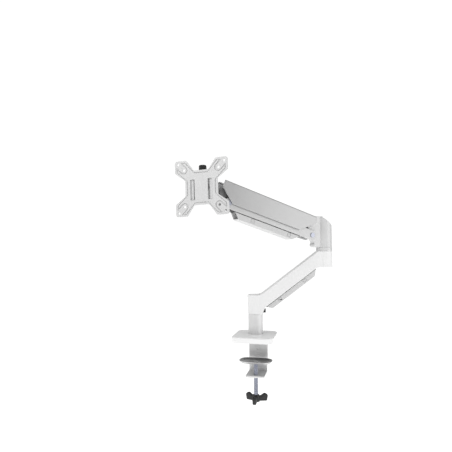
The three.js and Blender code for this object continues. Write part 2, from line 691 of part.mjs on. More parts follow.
// the slanted tube and, on the arm's side, the tongue that carries both link pins
function elbowKnuckle() {
  const x = PIVOT_OFFSET;
  const tubeSide = polygon([
    [-KNUCKLE_R - 1, knuckleBase],
    [KNUCKLE_R + 1, knuckleBase],
    [KNUCKLE_R + 1, KNUCKLE_TOP],
    [KNUCKLE_R - 2, KNUCKLE_TOP],
    [-KNUCKLE_R, KNUCKLE_SHORT_SIDE],
    [-KNUCKLE_R - 1, KNUCKLE_SHORT_SIDE - 1],
  ]);
  const tube = barZ(KNUCKLE_R, [knuckleBase, KNUCKLE_TOP + 1]).intersect(slabY(tubeSide, KNUCKLE_R + 1));
  const side = new THREE.Shape();
  side.moveTo(0, knuckleBase);
  side.lineTo(x - 20, knuckleBase);
  side.quadraticCurveTo(x - 9, knuckleBase, x - 9, knuckleBase + 5);
  side.quadraticCurveTo(x - 9, knuckleBase + 8, x - 11, knuckleBase + 10);
  side.quadraticCurveTo(x - 10, knuckleBase + 17, x - 3, LOWER_PIN_HEIGHT - 8);
  side.quadraticCurveTo(x + 10, LOWER_PIN_HEIGHT - 8, x + 10, LOWER_PIN_HEIGHT);
  side.quadraticCurveTo(x + 11, LOWER_PIN_HEIGHT + 9, x + 6, upperPinHeight - 20);
  side.lineTo(x + 9, upperPinHeight - 6);
  side.absarc(x, upperPinHeight, 10.8, -0.6, Math.PI * 0.6, false);
  side.lineTo(x - 12, KNUCKLE_TOP);
  side.lineTo(0, KNUCKLE_TOP);
  side.closePath();
  const insideTube = box([-HUGE, ELBOW_SPINDLE_R], [-20, 20], [0, HUGE]);
  const body = join(tube, cut(slabY(side, TONGUE_HALF), insideTube));
  const slot = box(
    [tensionX - TENSION_BLOCK - FIT, x + 30],
    [-TENSION_SLOT_HALF, TENSION_SLOT_HALF],
    [anchorZ - TENSION_SLOT_REACH, anchorZ + TENSION_SLOT_REACH],
  );
  return cut(
    body,
    slot,
    barZ(ELBOW_SPINDLE_R + FIT, [0, ELBOW_SPINDLE_TOP + FIT]),
    ...[LOWER_PIN_HEIGHT, upperPinHeight].map((z) => barY(PIN_R + FIT, [-20, 20], x, z)),
    barY(ANCHOR_PIN_R + FIT, [-TONGUE_HALF - 1, TONGUE_HALF + 1], x, anchorZ),
    barZ(TENSION_R + FIT, [tensionFoot - FIT, HUGE], tensionX, 0, SMALL_ROUND),
    barZ(TENSION_HEAD_R + FIT, [KNUCKLE_TOP - TENSION_HEAD - FIT, HUGE], tensionX, 0, SMALL_ROUND),
  );
}

function tensionScrew() {
  const top = KNUCKLE_TOP - FIT;
  const head = barZ(TENSION_HEAD_R, [KNUCKLE_TOP - TENSION_HEAD, top], tensionX, 0, SMALL_ROUND);
  const shank = barZ(TENSION_R, [tensionFoot, top - 1], tensionX, 0, SMALL_ROUND);
  return cut(join(head, shank), slabZ(hexagon(TENSION_R, tensionX, 0), top - 3, top + 1));
}

function tensionBlock() {
  const block = box(
    [tensionX - TENSION_BLOCK, tensionX + TENSION_BLOCK],
    [FIT - TENSION_SLOT_HALF, TENSION_SLOT_HALF - FIT],
    [anchorZ - TENSION_BLOCK, anchorZ + TENSION_BLOCK],
  );
  return cut(block, barZ(TENSION_R + FIT, [0, HUGE], tensionX, 0, SMALL_ROUND));
}

const elbowRing = cut(barZ(SOCKET_R, ringZ), barZ(ELBOW_SPINDLE_R + FIT, [0, HUGE]));
add(elbow, "elbow_ring", elbowRing, PALE_PLASTIC);
const elbowBushZ = [elbowSpindleBottom + FIT, ELBOW_SOCKET_TOP - FIT];
const elbowBush = bush(ELBOW_SPINDLE_R + FIT, elbowSocketBore - FIT, elbowBushZ);
const elbowBushHolder = frameAt(lowerArm, LOWER_ARM_REACH, 0, 0);
add(elbowBushHolder, "elbow_bush", elbowBush, NYLON);
add(elbow, "elbow_spindle", elbowSpindle(), SATIN_STEEL);
const elbowWasher = bush(RETAINER_R + FIT, elbowSocketBore - 1, [elbowWasherZ, elbowWasherZ + WASHER_DISC]);
add(elbow, "elbow_washer", elbowWasher, SATIN_STEEL);
add(elbow, "elbow_retaining_screw", elbowRetainer(), SATIN_STEEL);
add(elbow, "elbow_knuckle", elbowKnuckle(), SILVER_PAINT);
add(elbow, "tension_screw", tensionScrew(), DARK_METAL);
add(elbow, "tension_block", tensionBlock(), SATIN_STEEL);
const anchor = barY(ANCHOR_PIN_R, [-TONGUE_HALF, TONGUE_HALF], PIVOT_OFFSET, anchorZ);
add(elbow, "spring_anchor_pin", anchor, SATIN_STEEL);

const coverInner = COVER_HALF - COVER_WALL;
const upperLinkHalf = coverInner - LINK_SIDE_GAP;
const lowerLinkHalf = coverInner - LINK_SIDE_GAP - PIN_HEAD - FIT - PIN_END_PLAY;

// a link pin: plain, or with a low head at each end where the link shows
function upperPin(z, x) {
  return barY(PIN_R, [-upperLinkHalf, upperLinkHalf], x, z);
}

function lowerPin(z, x) {
  const out = lowerLinkHalf + FIT;
  const headR = PIN_R + PIN_HEAD;
  const heads = [barY(headR, [out, out + PIN_HEAD], x, z), barY(headR, [-out - PIN_HEAD, -out], x, z)];
  return join(barY(PIN_R, [-out - 1, out + 1], x, z), ...heads);
}

add(elbow, "elbow_upper_pin", upperPin(upperPinHeight, PIVOT_OFFSET), BLUE_STEEL);
add(elbow, "elbow_lower_pin", lowerPin(LOWER_PIN_HEIGHT, PIVOT_OFFSET), BLUE_STEEL);

// ---------------------------------------------------------------- upper arm

const upperLink = frameAt(elbow, PIVOT_OFFSET, 0, upperPinHeight);
upperLink.rotation.y = -deg(LINK_PITCH);

// the cover's side: a long hexagon, pointed at both ends, with its elbow end cut off square
function coverOutline() {
  const L = LINK_LENGTH;
  return polygon([
    [L + 13, COVER_ABOVE],
    [L + 17, -4],
    [L - 17, -COVER_BELOW],
    [31, -COVER_BELOW],
    [-10.5, -3],
    [-8.5, COVER_ABOVE - 3],
    [2, COVER_ABOVE],
  ]);
}

function upperArmCover() {
  const half = COVER_HALF;
  const b = COVER_BEVEL;
  const section = rounded([
    [-half, -COVER_BELOW - 1],
    [half, -COVER_BELOW - 1],
    [half, COVER_ABOVE - b * 0.6, 2],
    [half - b, COVER_ABOVE, 2],
    [b - half, COVER_ABOVE, 2],
    [-half, COVER_ABOVE - b * 0.6, 2],
  ]);
  const outer = slabY(coverOutline(), half).intersect(slabX(section, -HUGE, HUGE));
  const under = COVER_ABOVE - COVER_WALL;
  const hollow = box([-HUGE, HUGE], [-coverInner, coverInner], [-COVER_BELOW - 1, under]);
  const notchHalf = coverInner - COVER_NOTCH_RIM;
  const notch = (x) => box(x, [-notchHalf, notchHalf], [0, COVER_ABOVE + 1]);
  return cut(outer, hollow, notch([LINK_LENGTH - COVER_NOTCH, HUGE]), notch([-HUGE, COVER_NOTCH]));
}

// a pressed channel: two walls with round ends about the pins and a web clear of both tongues
function channelLink(half, above, below, webZ, webEnds) {
  const L = LINK_LENGTH;
  const r = Math.min(above, below);
  const wall = new THREE.Shape();
  wall.moveTo(0, above);
  wall.absarc(0, 0, r, Math.PI / 2, (Math.PI * 3) / 2, false);
  wall.lineTo(webEnds[0], -below);
  wall.lineTo(webEnds[1], -below);
  wall.lineTo(L, -r);
  wall.absarc(L, 0, r, -Math.PI / 2, Math.PI / 2, false);
  wall.lineTo(webEnds[1], above);
  wall.lineTo(webEnds[0], above);
  const hollowZ = webZ[0] > 0 ? [-below - 1, webZ[0]] : [webZ[1], above + 1];
  const inner = half - LINK_SHEET;
  return cut(
    slabY(wall, half, 10),
    box([-HUGE, HUGE], [-inner, inner], hollowZ),
    box([-HUGE, webEnds[0]], [-inner, inner], [-HUGE, HUGE]),
    box([webEnds[1], HUGE], [-inner, inner], [-HUGE, HUGE]),
    barY(PIN_R + FIT, [-half - 1, half + 1]),
    barY(PIN_R + FIT, [-half - 1, half + 1], L),
  );
}

const upperWeb = [UPPER_LINK_ABOVE - LINK_SHEET, UPPER_LINK_ABOVE];
const upperWebEnds = [WEB_END, LINK_LENGTH - WEB_END];
const upperChannel = cut(
  channelLink(upperLinkHalf, UPPER_LINK_ABOVE, UPPER_LINK_BELOW, upperWeb, upperWebEnds),
  barY(STRUT_PIN_R + FIT, [-HUGE, HUGE], STRUT_HEAD_X, STRUT_HEAD_Z),
);
add(upperLink, "upper_arm_cover", upperArmCover(), SILVER_PAINT);
add(upperLink, "upper_link", upperChannel, SATIN_STEEL);

// gas spring, drawn from its head end to its eye around the anchor pin in the elbow
const pitch = deg(LINK_PITCH);
const strutHead = new THREE.Vector2(STRUT_HEAD_X, STRUT_HEAD_Z);
const strutAnchor = new THREE.Vector2(
  -ANCHOR_DROP * Math.sin(pitch),
  -ANCHOR_DROP * Math.cos(pitch) + STRUT_AIM,
);
const strutLength = strutHead.distanceTo(strutAnchor);
const along = (s) => strutHead.clone().lerp(strutAnchor, s / strutLength).toArray();
const strutPin = barY(STRUT_PIN_R, [-upperLinkHalf, upperLinkHalf], ...strutHead.toArray());

function gasCylinder() {
  const body = strutBar(CYLINDER_R, along(CYLINDER_SPAN[0]), along(CYLINDER_SPAN[1]), ROUND);
  const eye = barY(7, [-5, 5], ...strutHead.toArray());
  const stem = strutBar(4.5, along(2), along(CYLINDER_SPAN[0] + 1));
  return cut(
    join(body, stem, eye),
    barY(STRUT_PIN_R + FIT, [-6, 6], ...strutHead.toArray()),
    strutBar(ROD_R + FIT, along(ROD_BORE_START), along(CYLINDER_SPAN[1] + 2)),
  );
}

function gasRod() {
  const hole = ANCHOR_PIN_R + FIT + OPEN_PIVOT;
  const eye = barY(hole + 2.2, [-ROD_EYE_HALF, ROD_EYE_HALF], ...strutAnchor.toArray());
  const rod = strutBar(ROD_R, along(ROD_START), along(strutLength - hole));
  return cut(join(rod, eye), barY(hole, [-6, 6], ...strutAnchor.toArray()));
}

add(upperLink, "gas_cylinder", gasCylinder(), BLACK_PLASTIC);
add(upperLink, "gas_rod", gasRod(), BLUE_STEEL);
add(upperLink, "spring_head_pin", strutPin, SATIN_STEEL);

const lowerLink = frameAt(elbow, PIVOT_OFFSET, 0, LOWER_PIN_HEIGHT);
lowerLink.rotation.y = -deg(LINK_PITCH);
const lowerWeb = [-LOWER_LINK_BELOW, LINK_SHEET - LOWER_LINK_BELOW];
const lowerWebEnds = [LOWER_WEB_INSET[0], LINK_LENGTH - LOWER_WEB_INSET[1]];
const lowerChannel = channelLink(lowerLinkHalf, LOWER_LINK_ABOVE, LOWER_LINK_BELOW, lowerWeb, lowerWebEnds);
add(lowerLink, "lower_link", lowerChannel, PALE_PLASTIC);
const upperCableSpan = [UPPER_CHANNEL_INSET[0], LINK_LENGTH - UPPER_CHANNEL_INSET[1]];
const upperCable = cableCover(
  upperCableSpan,
  UPPER_CHANNEL_SLOPES,
  UPPER_CHANNEL_DEPTH,
  CABLE_COVER_HALF,
  CABLE_COVER_WALL,
);
add(lowerLink, "upper_cable_cover", upperCable.translate([0, 0, -LOWER_LINK_BELOW]), PALE_PLASTIC);

// ---------------------------------------------------------------- head

const headX = PIVOT_OFFSET + LINK_LENGTH * Math.cos(pitch);
const headZ = upperPinHeight + LINK_LENGTH * Math.sin(pitch);
const head = frameAt(elbow, headX, 0, headZ);

const earTop = [0, YOKE_SHEET];
const lugTop = [earTop[0] - 2 * FIT - WASHER - LUG_THICKNESS, earTop[0] - 2 * FIT - WASHER];
const lugBottom = [lugTop[0] - LUG_GAP - LUG_THICKNESS, lugTop[0] - LUG_GAP];
const earBottom = [lugBottom[0] - 2 * FIT - WASHER - YOKE_SHEET, lugBottom[0] - 2 * FIT - WASHER];

function headKnuckle() {
  const side = new THREE.Shape();
  side.moveTo(0, 10);
  side.absarc(0, 0, 10, Math.PI / 2, Math.PI, false);
  side.lineTo(-10, -PIN_SPACING);
  side.absarc(0, -PIN_SPACING, 10, Math.PI, Math.PI * 2, false);
  side.lineTo(12, lugBottom[0]);
  side.lineTo(HEAD_OFFSET, lugBottom[0]);
  side.lineTo(HEAD_OFFSET, lugTop[1]);
  side.lineTo(11, lugTop[1]);
  const lug = (z) => barZ(LUG_R, z, HEAD_OFFSET, 0);
  const gap = box([HEAD_OFFSET - LUG_R - 1, HEAD_OFFSET + 20], [-20, 20], [lugBottom[1], lugTop[0]]);
  return cut(
    join(slabY(side, HEAD_TONGUE_HALF), lug(lugTop), lug(lugBottom)),
    gap,
    barZ(PAN_R + FIT, [-60, 20], HEAD_OFFSET, 0, SMALL_ROUND),
    barY(PIN_R + FIT, [-20, 20]),
    barY(PIN_R + FIT, [-20, 20], 0, -PIN_SPACING),
  );
}

add(head, "head_knuckle", headKnuckle(), DARK_METAL);
add(head, "head_upper_pin", upperPin(0, 0), BLUE_STEEL);
add(head, "head_lower_pin", lowerPin(-PIN_SPACING, 0), BLUE_STEEL);

const pan = frameAt(head, HEAD_OFFSET, 0, 0);
pan.rotation.z = deg(HEAD_PAN);

// U-shaped yoke around both lugs, with the lug of the tilt joint in front
function panYoke() {
  const z = [earBottom[0], earTop[1]];
  const side = [-YOKE_HALF, YOKE_HALF];
  const ear = (span) => join(barZ(YOKE_HALF, span), box([0, YOKE_WEB + 1], side, span));
  const web = box([YOKE_WEB, YOKE_WEB + YOKE_SHEET], side, z);
  const lug = join(
    barY(TILT_LUG_R, [-TILT_LUG_HALF, TILT_LUG_HALF], TILT_OFFSET, -PLATE_CENTRE_DROP, ROUND),
    box(
      [YOKE_WEB + 1, TILT_OFFSET],
      [-TILT_LUG_HALF, TILT_LUG_HALF],
      [-PLATE_CENTRE_DROP - TILT_LUG_R * 0.9, -PLATE_CENTRE_DROP + TILT_LUG_R * 0.9],
    ),
  );
  return cut(
    join(web, ear(earTop), ear(earBottom), lug),
    barZ(PAN_R + FIT, [-60, 20], 0, 0, SMALL_ROUND),
    barY(TILT_R + FIT, [-20, 20], TILT_OFFSET, -PLATE_CENTRE_DROP),
  );
}

function hexNut(r, bore, span) {
  return cut(slabZ(hexagon(r), ...span), barZ(bore + FIT, [span[0] - 1, span[1] + 1], 0, 0, SMALL_ROUND));
}

const panSpindle = barZ(PAN_R, [earBottom[0] - FIT - NUT_HEIGHT, earTop[1] - FIT], 0, 0, SMALL_ROUND);
const panNutZ = [earBottom[0] - FIT - NUT_HEIGHT, earBottom[0] - FIT];
const topWasherZ = [lugTop[1] + FIT, lugTop[1] + FIT + WASHER];
const bottomWasherZ = [lugBottom[0] - FIT - WASHER, lugBottom[0] - FIT];
add(pan, "pan_yoke", panYoke(), DARK_METAL);
add(pan, "pan_spindle", panSpindle, BLUE_STEEL);
add(pan, "pan_nut", hexNut(PAN_R + NUT_MARGIN, PAN_R, panNutZ), SATIN_STEEL);
add(pan, "pan_washer_upper", bush(PAN_R + FIT, LUG_R, topWasherZ), NYLON);
add(pan, "pan_washer_lower", bush(PAN_R + FIT, LUG_R, bottomWasherZ), NYLON);

const tilt = frameAt(pan, TILT_OFFSET, 0, -PLATE_CENTRE_DROP);

// what lies between the plate's front face and the tilt bracket, from front to back
const plateFront = PLATE_OFFSET - EMBOSS;
const plateBack = plateFront - PLATE_SHEET;
const flangeFront = plateBack - FIT;
const flangeBack = flangeFront - HUB_FLANGE;
const frameFront = flangeBack - FIT;
const frameBack = frameFront - FRAME_SHEET;
const hubBack = frameBack - FIT;
const tiltWeb = hubBack - FIT - CHEEK;

const cheekInner = TILT_LUG_HALF + WASHER + 2 * FIT;
const cheekOuter = cheekInner + CHEEK;

function tiltBracket() {
  const half = TILT_WEB_HEIGHT / 2;
  const cheek = (side) => {
    const y = side > 0 ? [cheekInner, cheekOuter] : [-cheekOuter, -cheekInner];
    return join(barY(TILT_LUG_R, y, 0, 0, ROUND), box([0, tiltWeb + 1], y, [-TILT_LUG_R, TILT_LUG_R]));
  };
  const outline = roundedRect([-cheekOuter, cheekOuter], [-half, half], 4);
  const web = slabX(outline, tiltWeb, tiltWeb + CHEEK);
  return cut(
    join(web, cheek(1), cheek(-1)),
    barY(TILT_R + FIT, [-20, 20]),
    barX(TILT_R + FIT, [tiltWeb - 1, tiltWeb + CHEEK + 1]),
  );
}

function tiltBolt() {
  const out = cheekOuter + FIT;
  const shank = barY(TILT_R, [-out - NUT_HEIGHT, out + 1]);
  const head = barY(TILT_R + NUT_MARGIN, [out, out + TILT_R]);
  const key = slabY(hexagon(TILT_R * 0.7), 1.5).translate([0, out + TILT_R, 0]);
  return cut(join(shank, head), key);
}

function tiltNut() {
  const out = cheekOuter + FIT;
  const nut = slabY(hexagon(TILT_R + NUT_MARGIN), NUT_HEIGHT / 2).translate([0, -out - NUT_HEIGHT / 2, 0]);
  return cut(nut, barY(TILT_R + FIT, [-out - 10, 0]));
}

function tiltWasher(side) {
  const y = [TILT_LUG_HALF + FIT, TILT_LUG_HALF + FIT + WASHER].map((v) => v * side).sort((a, b) => a - b);
  return cut(barY(TILT_LUG_R, y, 0, 0, ROUND), barY(TILT_R + FIT, [y[0] - 1, y[1] + 1]));
}

add(tilt, "tilt_bracket", tiltBracket(), DARK_METAL);
add(tilt, "tilt_bolt", tiltBolt(), BLUE_STEEL);
add(tilt, "tilt_nut", tiltNut(), BLUE_STEEL);
add(tilt, "tilt_washer_left", tiltWasher(-1), NYLON);
add(tilt, "tilt_washer_right", tiltWasher(1), NYLON);

// the hub is bolted to the tilt bracket, and the frame with the plate turns on it
function rotationHub() {
  const neck = barX(HUB_R, [hubBack, flangeBack + FIT], 0, 0, ROUND);
  const flange = barX(HUB_FLANGE_R, [flangeBack, flangeFront], 0, 0, ROUND);
  const bore = barX(TILT_R + FIT, [hubBack - 1, flangeFront + 1]);
  const sink = barX(HUB_BOLT_HEAD_R + FIT, [flangeFront - HUB_BOLT_HEAD, flangeFront + 1]);
  return cut(join(neck, flange), bore, sink);
}

function hubBolt() {
  const head = barX(HUB_BOLT_HEAD_R, [flangeFront - HUB_BOLT_HEAD + FIT, flangeFront]);
  const shank = barX(TILT_R, [tiltWeb - NUT_HEIGHT - FIT, flangeFront - 1]);
  return cut(join(head, shank), slabX(hexagon(TILT_R * 0.7), flangeFront - 1.4, flangeFront + 1));
}

function hubNut() {
  const span = [tiltWeb - NUT_HEIGHT - FIT, tiltWeb - FIT];
  return cut(slabX(hexagon(TILT_R + NUT_MARGIN), ...span), barX(TILT_R + FIT, [span[0] - 1, span[1] + 1]));
}

add(tilt, "rotation_hub", rotationHub(), BLACK_PLASTIC);
add(tilt, "hub_bolt", hubBolt(), SATIN_STEEL);
add(tilt, "hub_nut", hubNut(), SATIN_STEEL);

const roll = frameAt(tilt, 0, 0, 0);
roll.rotation.x = deg(PLATE_ROLL);

const plungerX = PLATE_OFFSET - RELEASE_R - 3;

const slotZ = [-SLOT_HEIGHT / 2 - SLOT_DROP, SLOT_HEIGHT / 2 - SLOT_DROP];

function releaseFrame() {
  const outline = roundedRect(
    [-FRAME_HALF_WIDTH, FRAME_HALF_WIDTH],
    [-FRAME_HALF_HEIGHT, FRAME_HALF_HEIGHT],
    5,
  );
  const plate = slabX(outline, frameBack, frameFront);
  const rail = (side) => {
    const y = [SLOT_CENTRE - 1.5, FRAME_HALF_WIDTH - 3];
    const across = side > 0 ? y : [-y[1], -y[0]];
    return box([frameFront - 0.5, plateBack - FIT], across, slotZ);
  };
  const housing = box([plungerX - HOUSING_HALF, frameFront], [-HOUSING_HALF, HOUSING_HALF], HOUSING_Z);
  return cut(
    join(plate, rail(1), rail(-1), housing),
    barX(HUB_R + FIT, [frameBack - 1, plateBack], 0, 0, ROUND),
    barZ(PLUNGER_R + FIT, [HOUSING_Z[0] + 3, HOUSING_Z[1] + 1], plungerX, 0, SMALL_ROUND),
  );
}

function releaseKnob() {
  const z = HOUSING_Z[1] + FIT;
  const top = z + 2 + RELEASE_HEIGHT;
  const plunger = barZ(PLUNGER_R, [HOUSING_Z[0] + 3 + FIT, z + 3], plungerX, 0, SMALL_ROUND);
  const collar = barZ(RELEASE_R - 2, [z, z + 2.5], plungerX, 0, 24);
  const grip = barZ(RELEASE_R, [z + 2, top], plungerX, 0, 24, RELEASE_R - 0.6);
  return join(plunger, collar, grip);
}

// one quarter of the cross outline, from the waist's top to the waist's side
function crossOutline(inset) {
  const tip = PLATE_HALF - inset;
  const corner = Math.max(6 - inset, 1.5);
  const waist = PLATE_WAIST - inset;
  const flat = PLATE_WAIST_FLAT - inset * 0.35;
  const inner = PLATE_TIP_INNER + inset * 0.45;
  const quarter = [
    [flat, waist, 2],
    [inner, tip, 2],
    [tip, tip, corner],
    [tip, inner, 2],
    [waist, flat, 2],
  ];
  const points = [];
  [
    [1, 1],
    [1, -1],
    [-1, -1],
    [-1, 1],
  ].forEach(([sx, sz], i) => {
    const list = i % 2 ? [...quarter].reverse() : quarter;
    list.forEach(([x, z, r]) => points.push([sx * x, sz * z, r]));
  });
  return rounded(points.reverse());
}

function vesaPlate() {
  const sheet = slabX(crossOutline(0), plateBack, plateFront, 4);
  const raised = slabX(crossOutline(EMBOSS_INSET), plateFront - 0.5, PLATE_OFFSET, 4);
  const corners = [-1, 1].flatMap((a) => [-1, 1].map((b) => [a, b]));
  const notches = corners.flatMap(([a, b]) => {
    const c = VESA_SMALL / 2;
    const open = solid(
      extrude(roundedRect([0, PLATE_HALF], [-EMBOSS_NOTCH_R, EMBOSS_NOTCH_R], 0.5), plateFront, HUGE)
        .rotateZ(Math.atan2(b, a))
        .rotateY(Math.PI / 2)
        .rotateX(Math.PI / 2)
        .translate(0, a * c, b * c),
    );
    return [open, barX(EMBOSS_NOTCH_R, [plateFront, HUGE], a * c, b * c, ROUND)];
  });
  const holes = corners.flatMap(([a, b]) => [
    barX(HOLE_LARGE_R, [0, HUGE], (a * VESA_LARGE) / 2, (b * VESA_LARGE) / 2),
    barX(HOLE_SMALL_R, [0, HUGE], (a * VESA_SMALL) / 2, (b * VESA_SMALL) / 2),
  ]);
  const slots = [-1, 1].map((s) =>
    box(
      [0, HUGE],
      [s * SLOT_CENTRE - SLOT_WIDTH / 2, s * SLOT_CENTRE + SLOT_WIDTH / 2],
      slotZ,
    ),
  );
  return cut(join(sheet, cut(raised, ...notches)), ...holes, ...slots);
}

add(roll, "quick_release_frame", releaseFrame(), PALE_PLASTIC);
add(roll, "vesa_plate", vesaPlate(), PALE_PLASTIC);
add(roll, "release_knob", releaseKnob(), BLACK_PLASTIC);

export default arm;
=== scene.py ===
import json
import math

import bmesh
import bpy
from mathutils import Matrix, Vector


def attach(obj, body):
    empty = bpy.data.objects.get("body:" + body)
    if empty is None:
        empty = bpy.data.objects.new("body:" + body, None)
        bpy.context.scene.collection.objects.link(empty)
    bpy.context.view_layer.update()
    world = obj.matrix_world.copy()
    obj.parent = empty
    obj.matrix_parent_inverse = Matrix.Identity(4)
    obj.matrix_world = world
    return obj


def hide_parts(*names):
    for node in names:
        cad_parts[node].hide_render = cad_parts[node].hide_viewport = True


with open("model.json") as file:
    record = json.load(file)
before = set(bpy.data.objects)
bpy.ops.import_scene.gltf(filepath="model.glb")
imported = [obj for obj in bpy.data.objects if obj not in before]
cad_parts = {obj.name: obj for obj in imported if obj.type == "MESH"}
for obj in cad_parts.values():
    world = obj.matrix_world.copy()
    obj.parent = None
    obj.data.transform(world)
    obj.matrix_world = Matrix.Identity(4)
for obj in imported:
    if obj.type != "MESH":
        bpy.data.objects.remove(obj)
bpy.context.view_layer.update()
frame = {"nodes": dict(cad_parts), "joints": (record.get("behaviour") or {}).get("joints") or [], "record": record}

# Shapes are drawn in millimetres, in the own frame of the link that carries them: +X along the link.
MM = 0.001
FIT = 0.3  # play between a piece and what it sits in
SIDES = 96  # of a visible round surface
RIM_STEPS = 4  # in the quarter round of an edge
FAR = 50  # well past the end of a piece, for cutting tools
BEHAVIOUR = frame["record"]["behaviour"]
JOINTS = {joint["name"]: joint for joint in frame["joints"]}
BODY_OF = {node: body for body, nodes in BEHAVIOUR["bodies"].items() for node in nodes}
SLOT_OF = {row["node"]: row["material_slot"] for row in frame["record"]["subparts"]}


# ------------------------------------------------------------------ places, from the frame

def place_of(joint):
    return Vector(JOINTS[joint]["pos_m"])


def axis_of(joint):
    return Vector(JOINTS[joint]["axis"]).normalized()


def flat(point):
    return Vector((point.x, point.y, 0))


def axes(origin, x_axis, z_axis):
    """A frame with its +X along x_axis and its +Z as near to z_axis as that allows."""
    x = x_axis.normalized()
    y = z_axis.cross(x).normalized()
    placed = Matrix((x, y, x.cross(y))).transposed().to_4x4()
    placed.translation = origin
    return placed


UP = Vector((0, 0, 1))
pole_axis = place_of("pole_swivel")
elbow_axis = place_of("elbow_swivel")
upper_pin = place_of("arm_lift")
head_pin = place_of("head_level")
arm_out = UP.cross(axis_of("arm_lift"))
plate_normal = axis_of("plate_rotate")
BASE = Matrix.Identity(4)
LOWER = axes(flat(pole_axis), flat(elbow_axis - pole_axis), UP)
ELBOW = axes(flat(elbow_axis), arm_out, UP)
UPPER = axes(upper_pin, head_pin - upper_pin, UP)
UNDER = axes(place_of("lower_link_swing"), head_pin - upper_pin, UP)
HEAD = axes(head_pin, arm_out, UP)
PAN = axes(flat(place_of("head_pan")) + UP * head_pin.z, plate_normal, UP)
TILT = axes(place_of("head_tilt"), plate_normal, UP)
PLATE = axes(place_of("head_tilt"), plate_normal, axis_of("release_pull"))


def local_points(node, place):
    """A CAD node's vertices in a link's own frame, in millimetres."""
    inverse = place.inverted()
    return [inverse @ vertex.co / MM for vertex in frame["nodes"][node].data.vertices]


def local_box(node, place):
    """Lowest and highest corner of a CAD node in a link's own frame, in millimetres."""
    points = local_points(node, place)
    low = Vector([min(point[i] for point in points) for i in range(3)])
    high = Vector([max(point[i] for point in points) for i in range(3)])
    return low, high


# ------------------------------------------------------------------ outlines, as lists of (u, v)

def quadratic(start, corner, end, steps=8):
    """Points on a curve from start, which is left out, to end, pulled towards corner."""
    points = []
    for i in range(1, steps + 1):
        t = i / steps
        weights = ((1 - t) ** 2, 2 * t * (1 - t), t * t)
        points.append(tuple(sum(w * p[k] for w, p in zip(weights, (start, corner, end))) for k in (0, 1)))
    return points


def arc(u, v, r, start, end, steps=24):
    """Points on an arc between two angles in degrees."""
    angles = [math.radians(start + (end - start) * i / steps) for i in range(steps + 1)]
    return [(u + r * math.cos(a), v + r * math.sin(a)) for a in angles]


def rounded(points, steps=6):
    """A polygon of (u, v, radius) with its corners rounded."""
    outline = []
    for i, (u, v, r) in enumerate(points):
        corner = Vector((u, v))
        before = Vector(points[i - 1][:2]) - corner
        after = Vector(points[(i + 1) % len(points)][:2]) - corner
        start = corner + before.normalized() * r
        outline.append(tuple(start))
        if r > 0:
            outline += quadratic(start, corner, corner + after.normalized() * r, steps)
    return outline


def rectangle(u, v, r=0.0, steps=6):
    """A rectangle between two u and two v, with corners of radius r."""
    corners = [(u[0], v[0]), (u[1], v[0]), (u[1], v[1]), (u[0], v[1])]
    return rounded([(*corner, r) for corner in corners], steps)


def hexagon(r, u=0.0, v=0.0):
    """A hexagon whose corners are r from (u, v)."""
    return arc(u, v, r, 0, 300, 5)


def inset(outline, distance):
    """The outline, which runs anticlockwise, moved inwards."""
    if distance == 0:
        return outline
    points = [Vector(point) for point in outline]
    moved = []
    for i, point in enumerate(points):
        before = (point - points[i - 1]).normalized()
        after = (points[(i + 1) % len(points)] - point).normalized()
        n = Vector((-before.y, before.x))
        m = Vector((-after.y, after.x))
        moved.append(tuple(point + (n + m) * distance / (1 + n.dot(m))))
    return moved


def anticlockwise(outline):
    """The outline without repeated points, in the sense that the solids need."""
    outline = [p for i, p in enumerate(outline) if math.dist(p, outline[i - 1]) > 1e-3]
    area = sum(a[0] * b[1] - b[0] * a[1] for a, b in zip(outline, outline[1:] + outline[:1]))
    return outline if area > 0 else outline[::-1]


# ------------------------------------------------------------------ solids

# Where (u, v, w) of an outline lies when w runs along that axis.
LAY = {
    "Z": lambda u, v, w: (u, v, w),
    "Y": lambda u, v, w: (u, w, v),
    "X": lambda u, v, w: (w, u, v),
}


def linked(bm):
    """The object of a finished bmesh, in the scene."""
    bmesh.ops.remove_doubles(bm, verts=bm.verts, dist=1e-4)
    bmesh.ops.recalc_face_normals(bm, faces=bm.faces)
    mesh = bpy.data.meshes.new("solid")
    bm.to_mesh(mesh)
    bm.free()
    obj = bpy.data.objects.new("solid", mesh)
    bpy.context.scene.collection.objects.link(obj)
    return obj


def loft(loops, axis="Z"):
    """A closed skin through loops of (u, v, w) points, all with as many points, capped at both ends."""
    bm = bmesh.new()
    rings = [[bm.verts.new(LAY[axis](*point)) for point in loop] for loop in loops]
    for low, high in zip(rings, rings[1:]):
        for i in range(len(low)):
            j = (i + 1) % len(low)
            bm.faces.new((low[i], low[j], high[j], high[i]))
    bm.faces.new(rings[0])
    bm.faces.new(rings[-1])
    return linked(bm)


def slab(outline, low, high, axis="Z", rim=0.0, low_rim=None):
    """An outline with thickness, its two rims rounded."""
    outline = anticlockwise(outline)
    low_rim = rim if low_rim is None else low_rim
    quarter = [i * math.pi / 2 / RIM_STEPS for i in range(RIM_STEPS + 1)]
    levels = [(low_rim * (1 - math.sin(a)), low + low_rim * (1 - math.cos(a))) for a in quarter]
    levels = levels if low_rim else [(0, low)]
    upper = [(rim * (1 - math.sin(a)), high - rim * (1 - math.cos(a))) for a in reversed(quarter)]
    levels += upper if rim else [(0, high)]
    return loft([[(u, v, w) for u, v in inset(outline, d)] for d, w in levels], axis)


def block(x, y, z):
    """A plain box between two x, two y and two z, mostly for cutting."""
    return slab(rectangle(x, y), z[0], z[1])


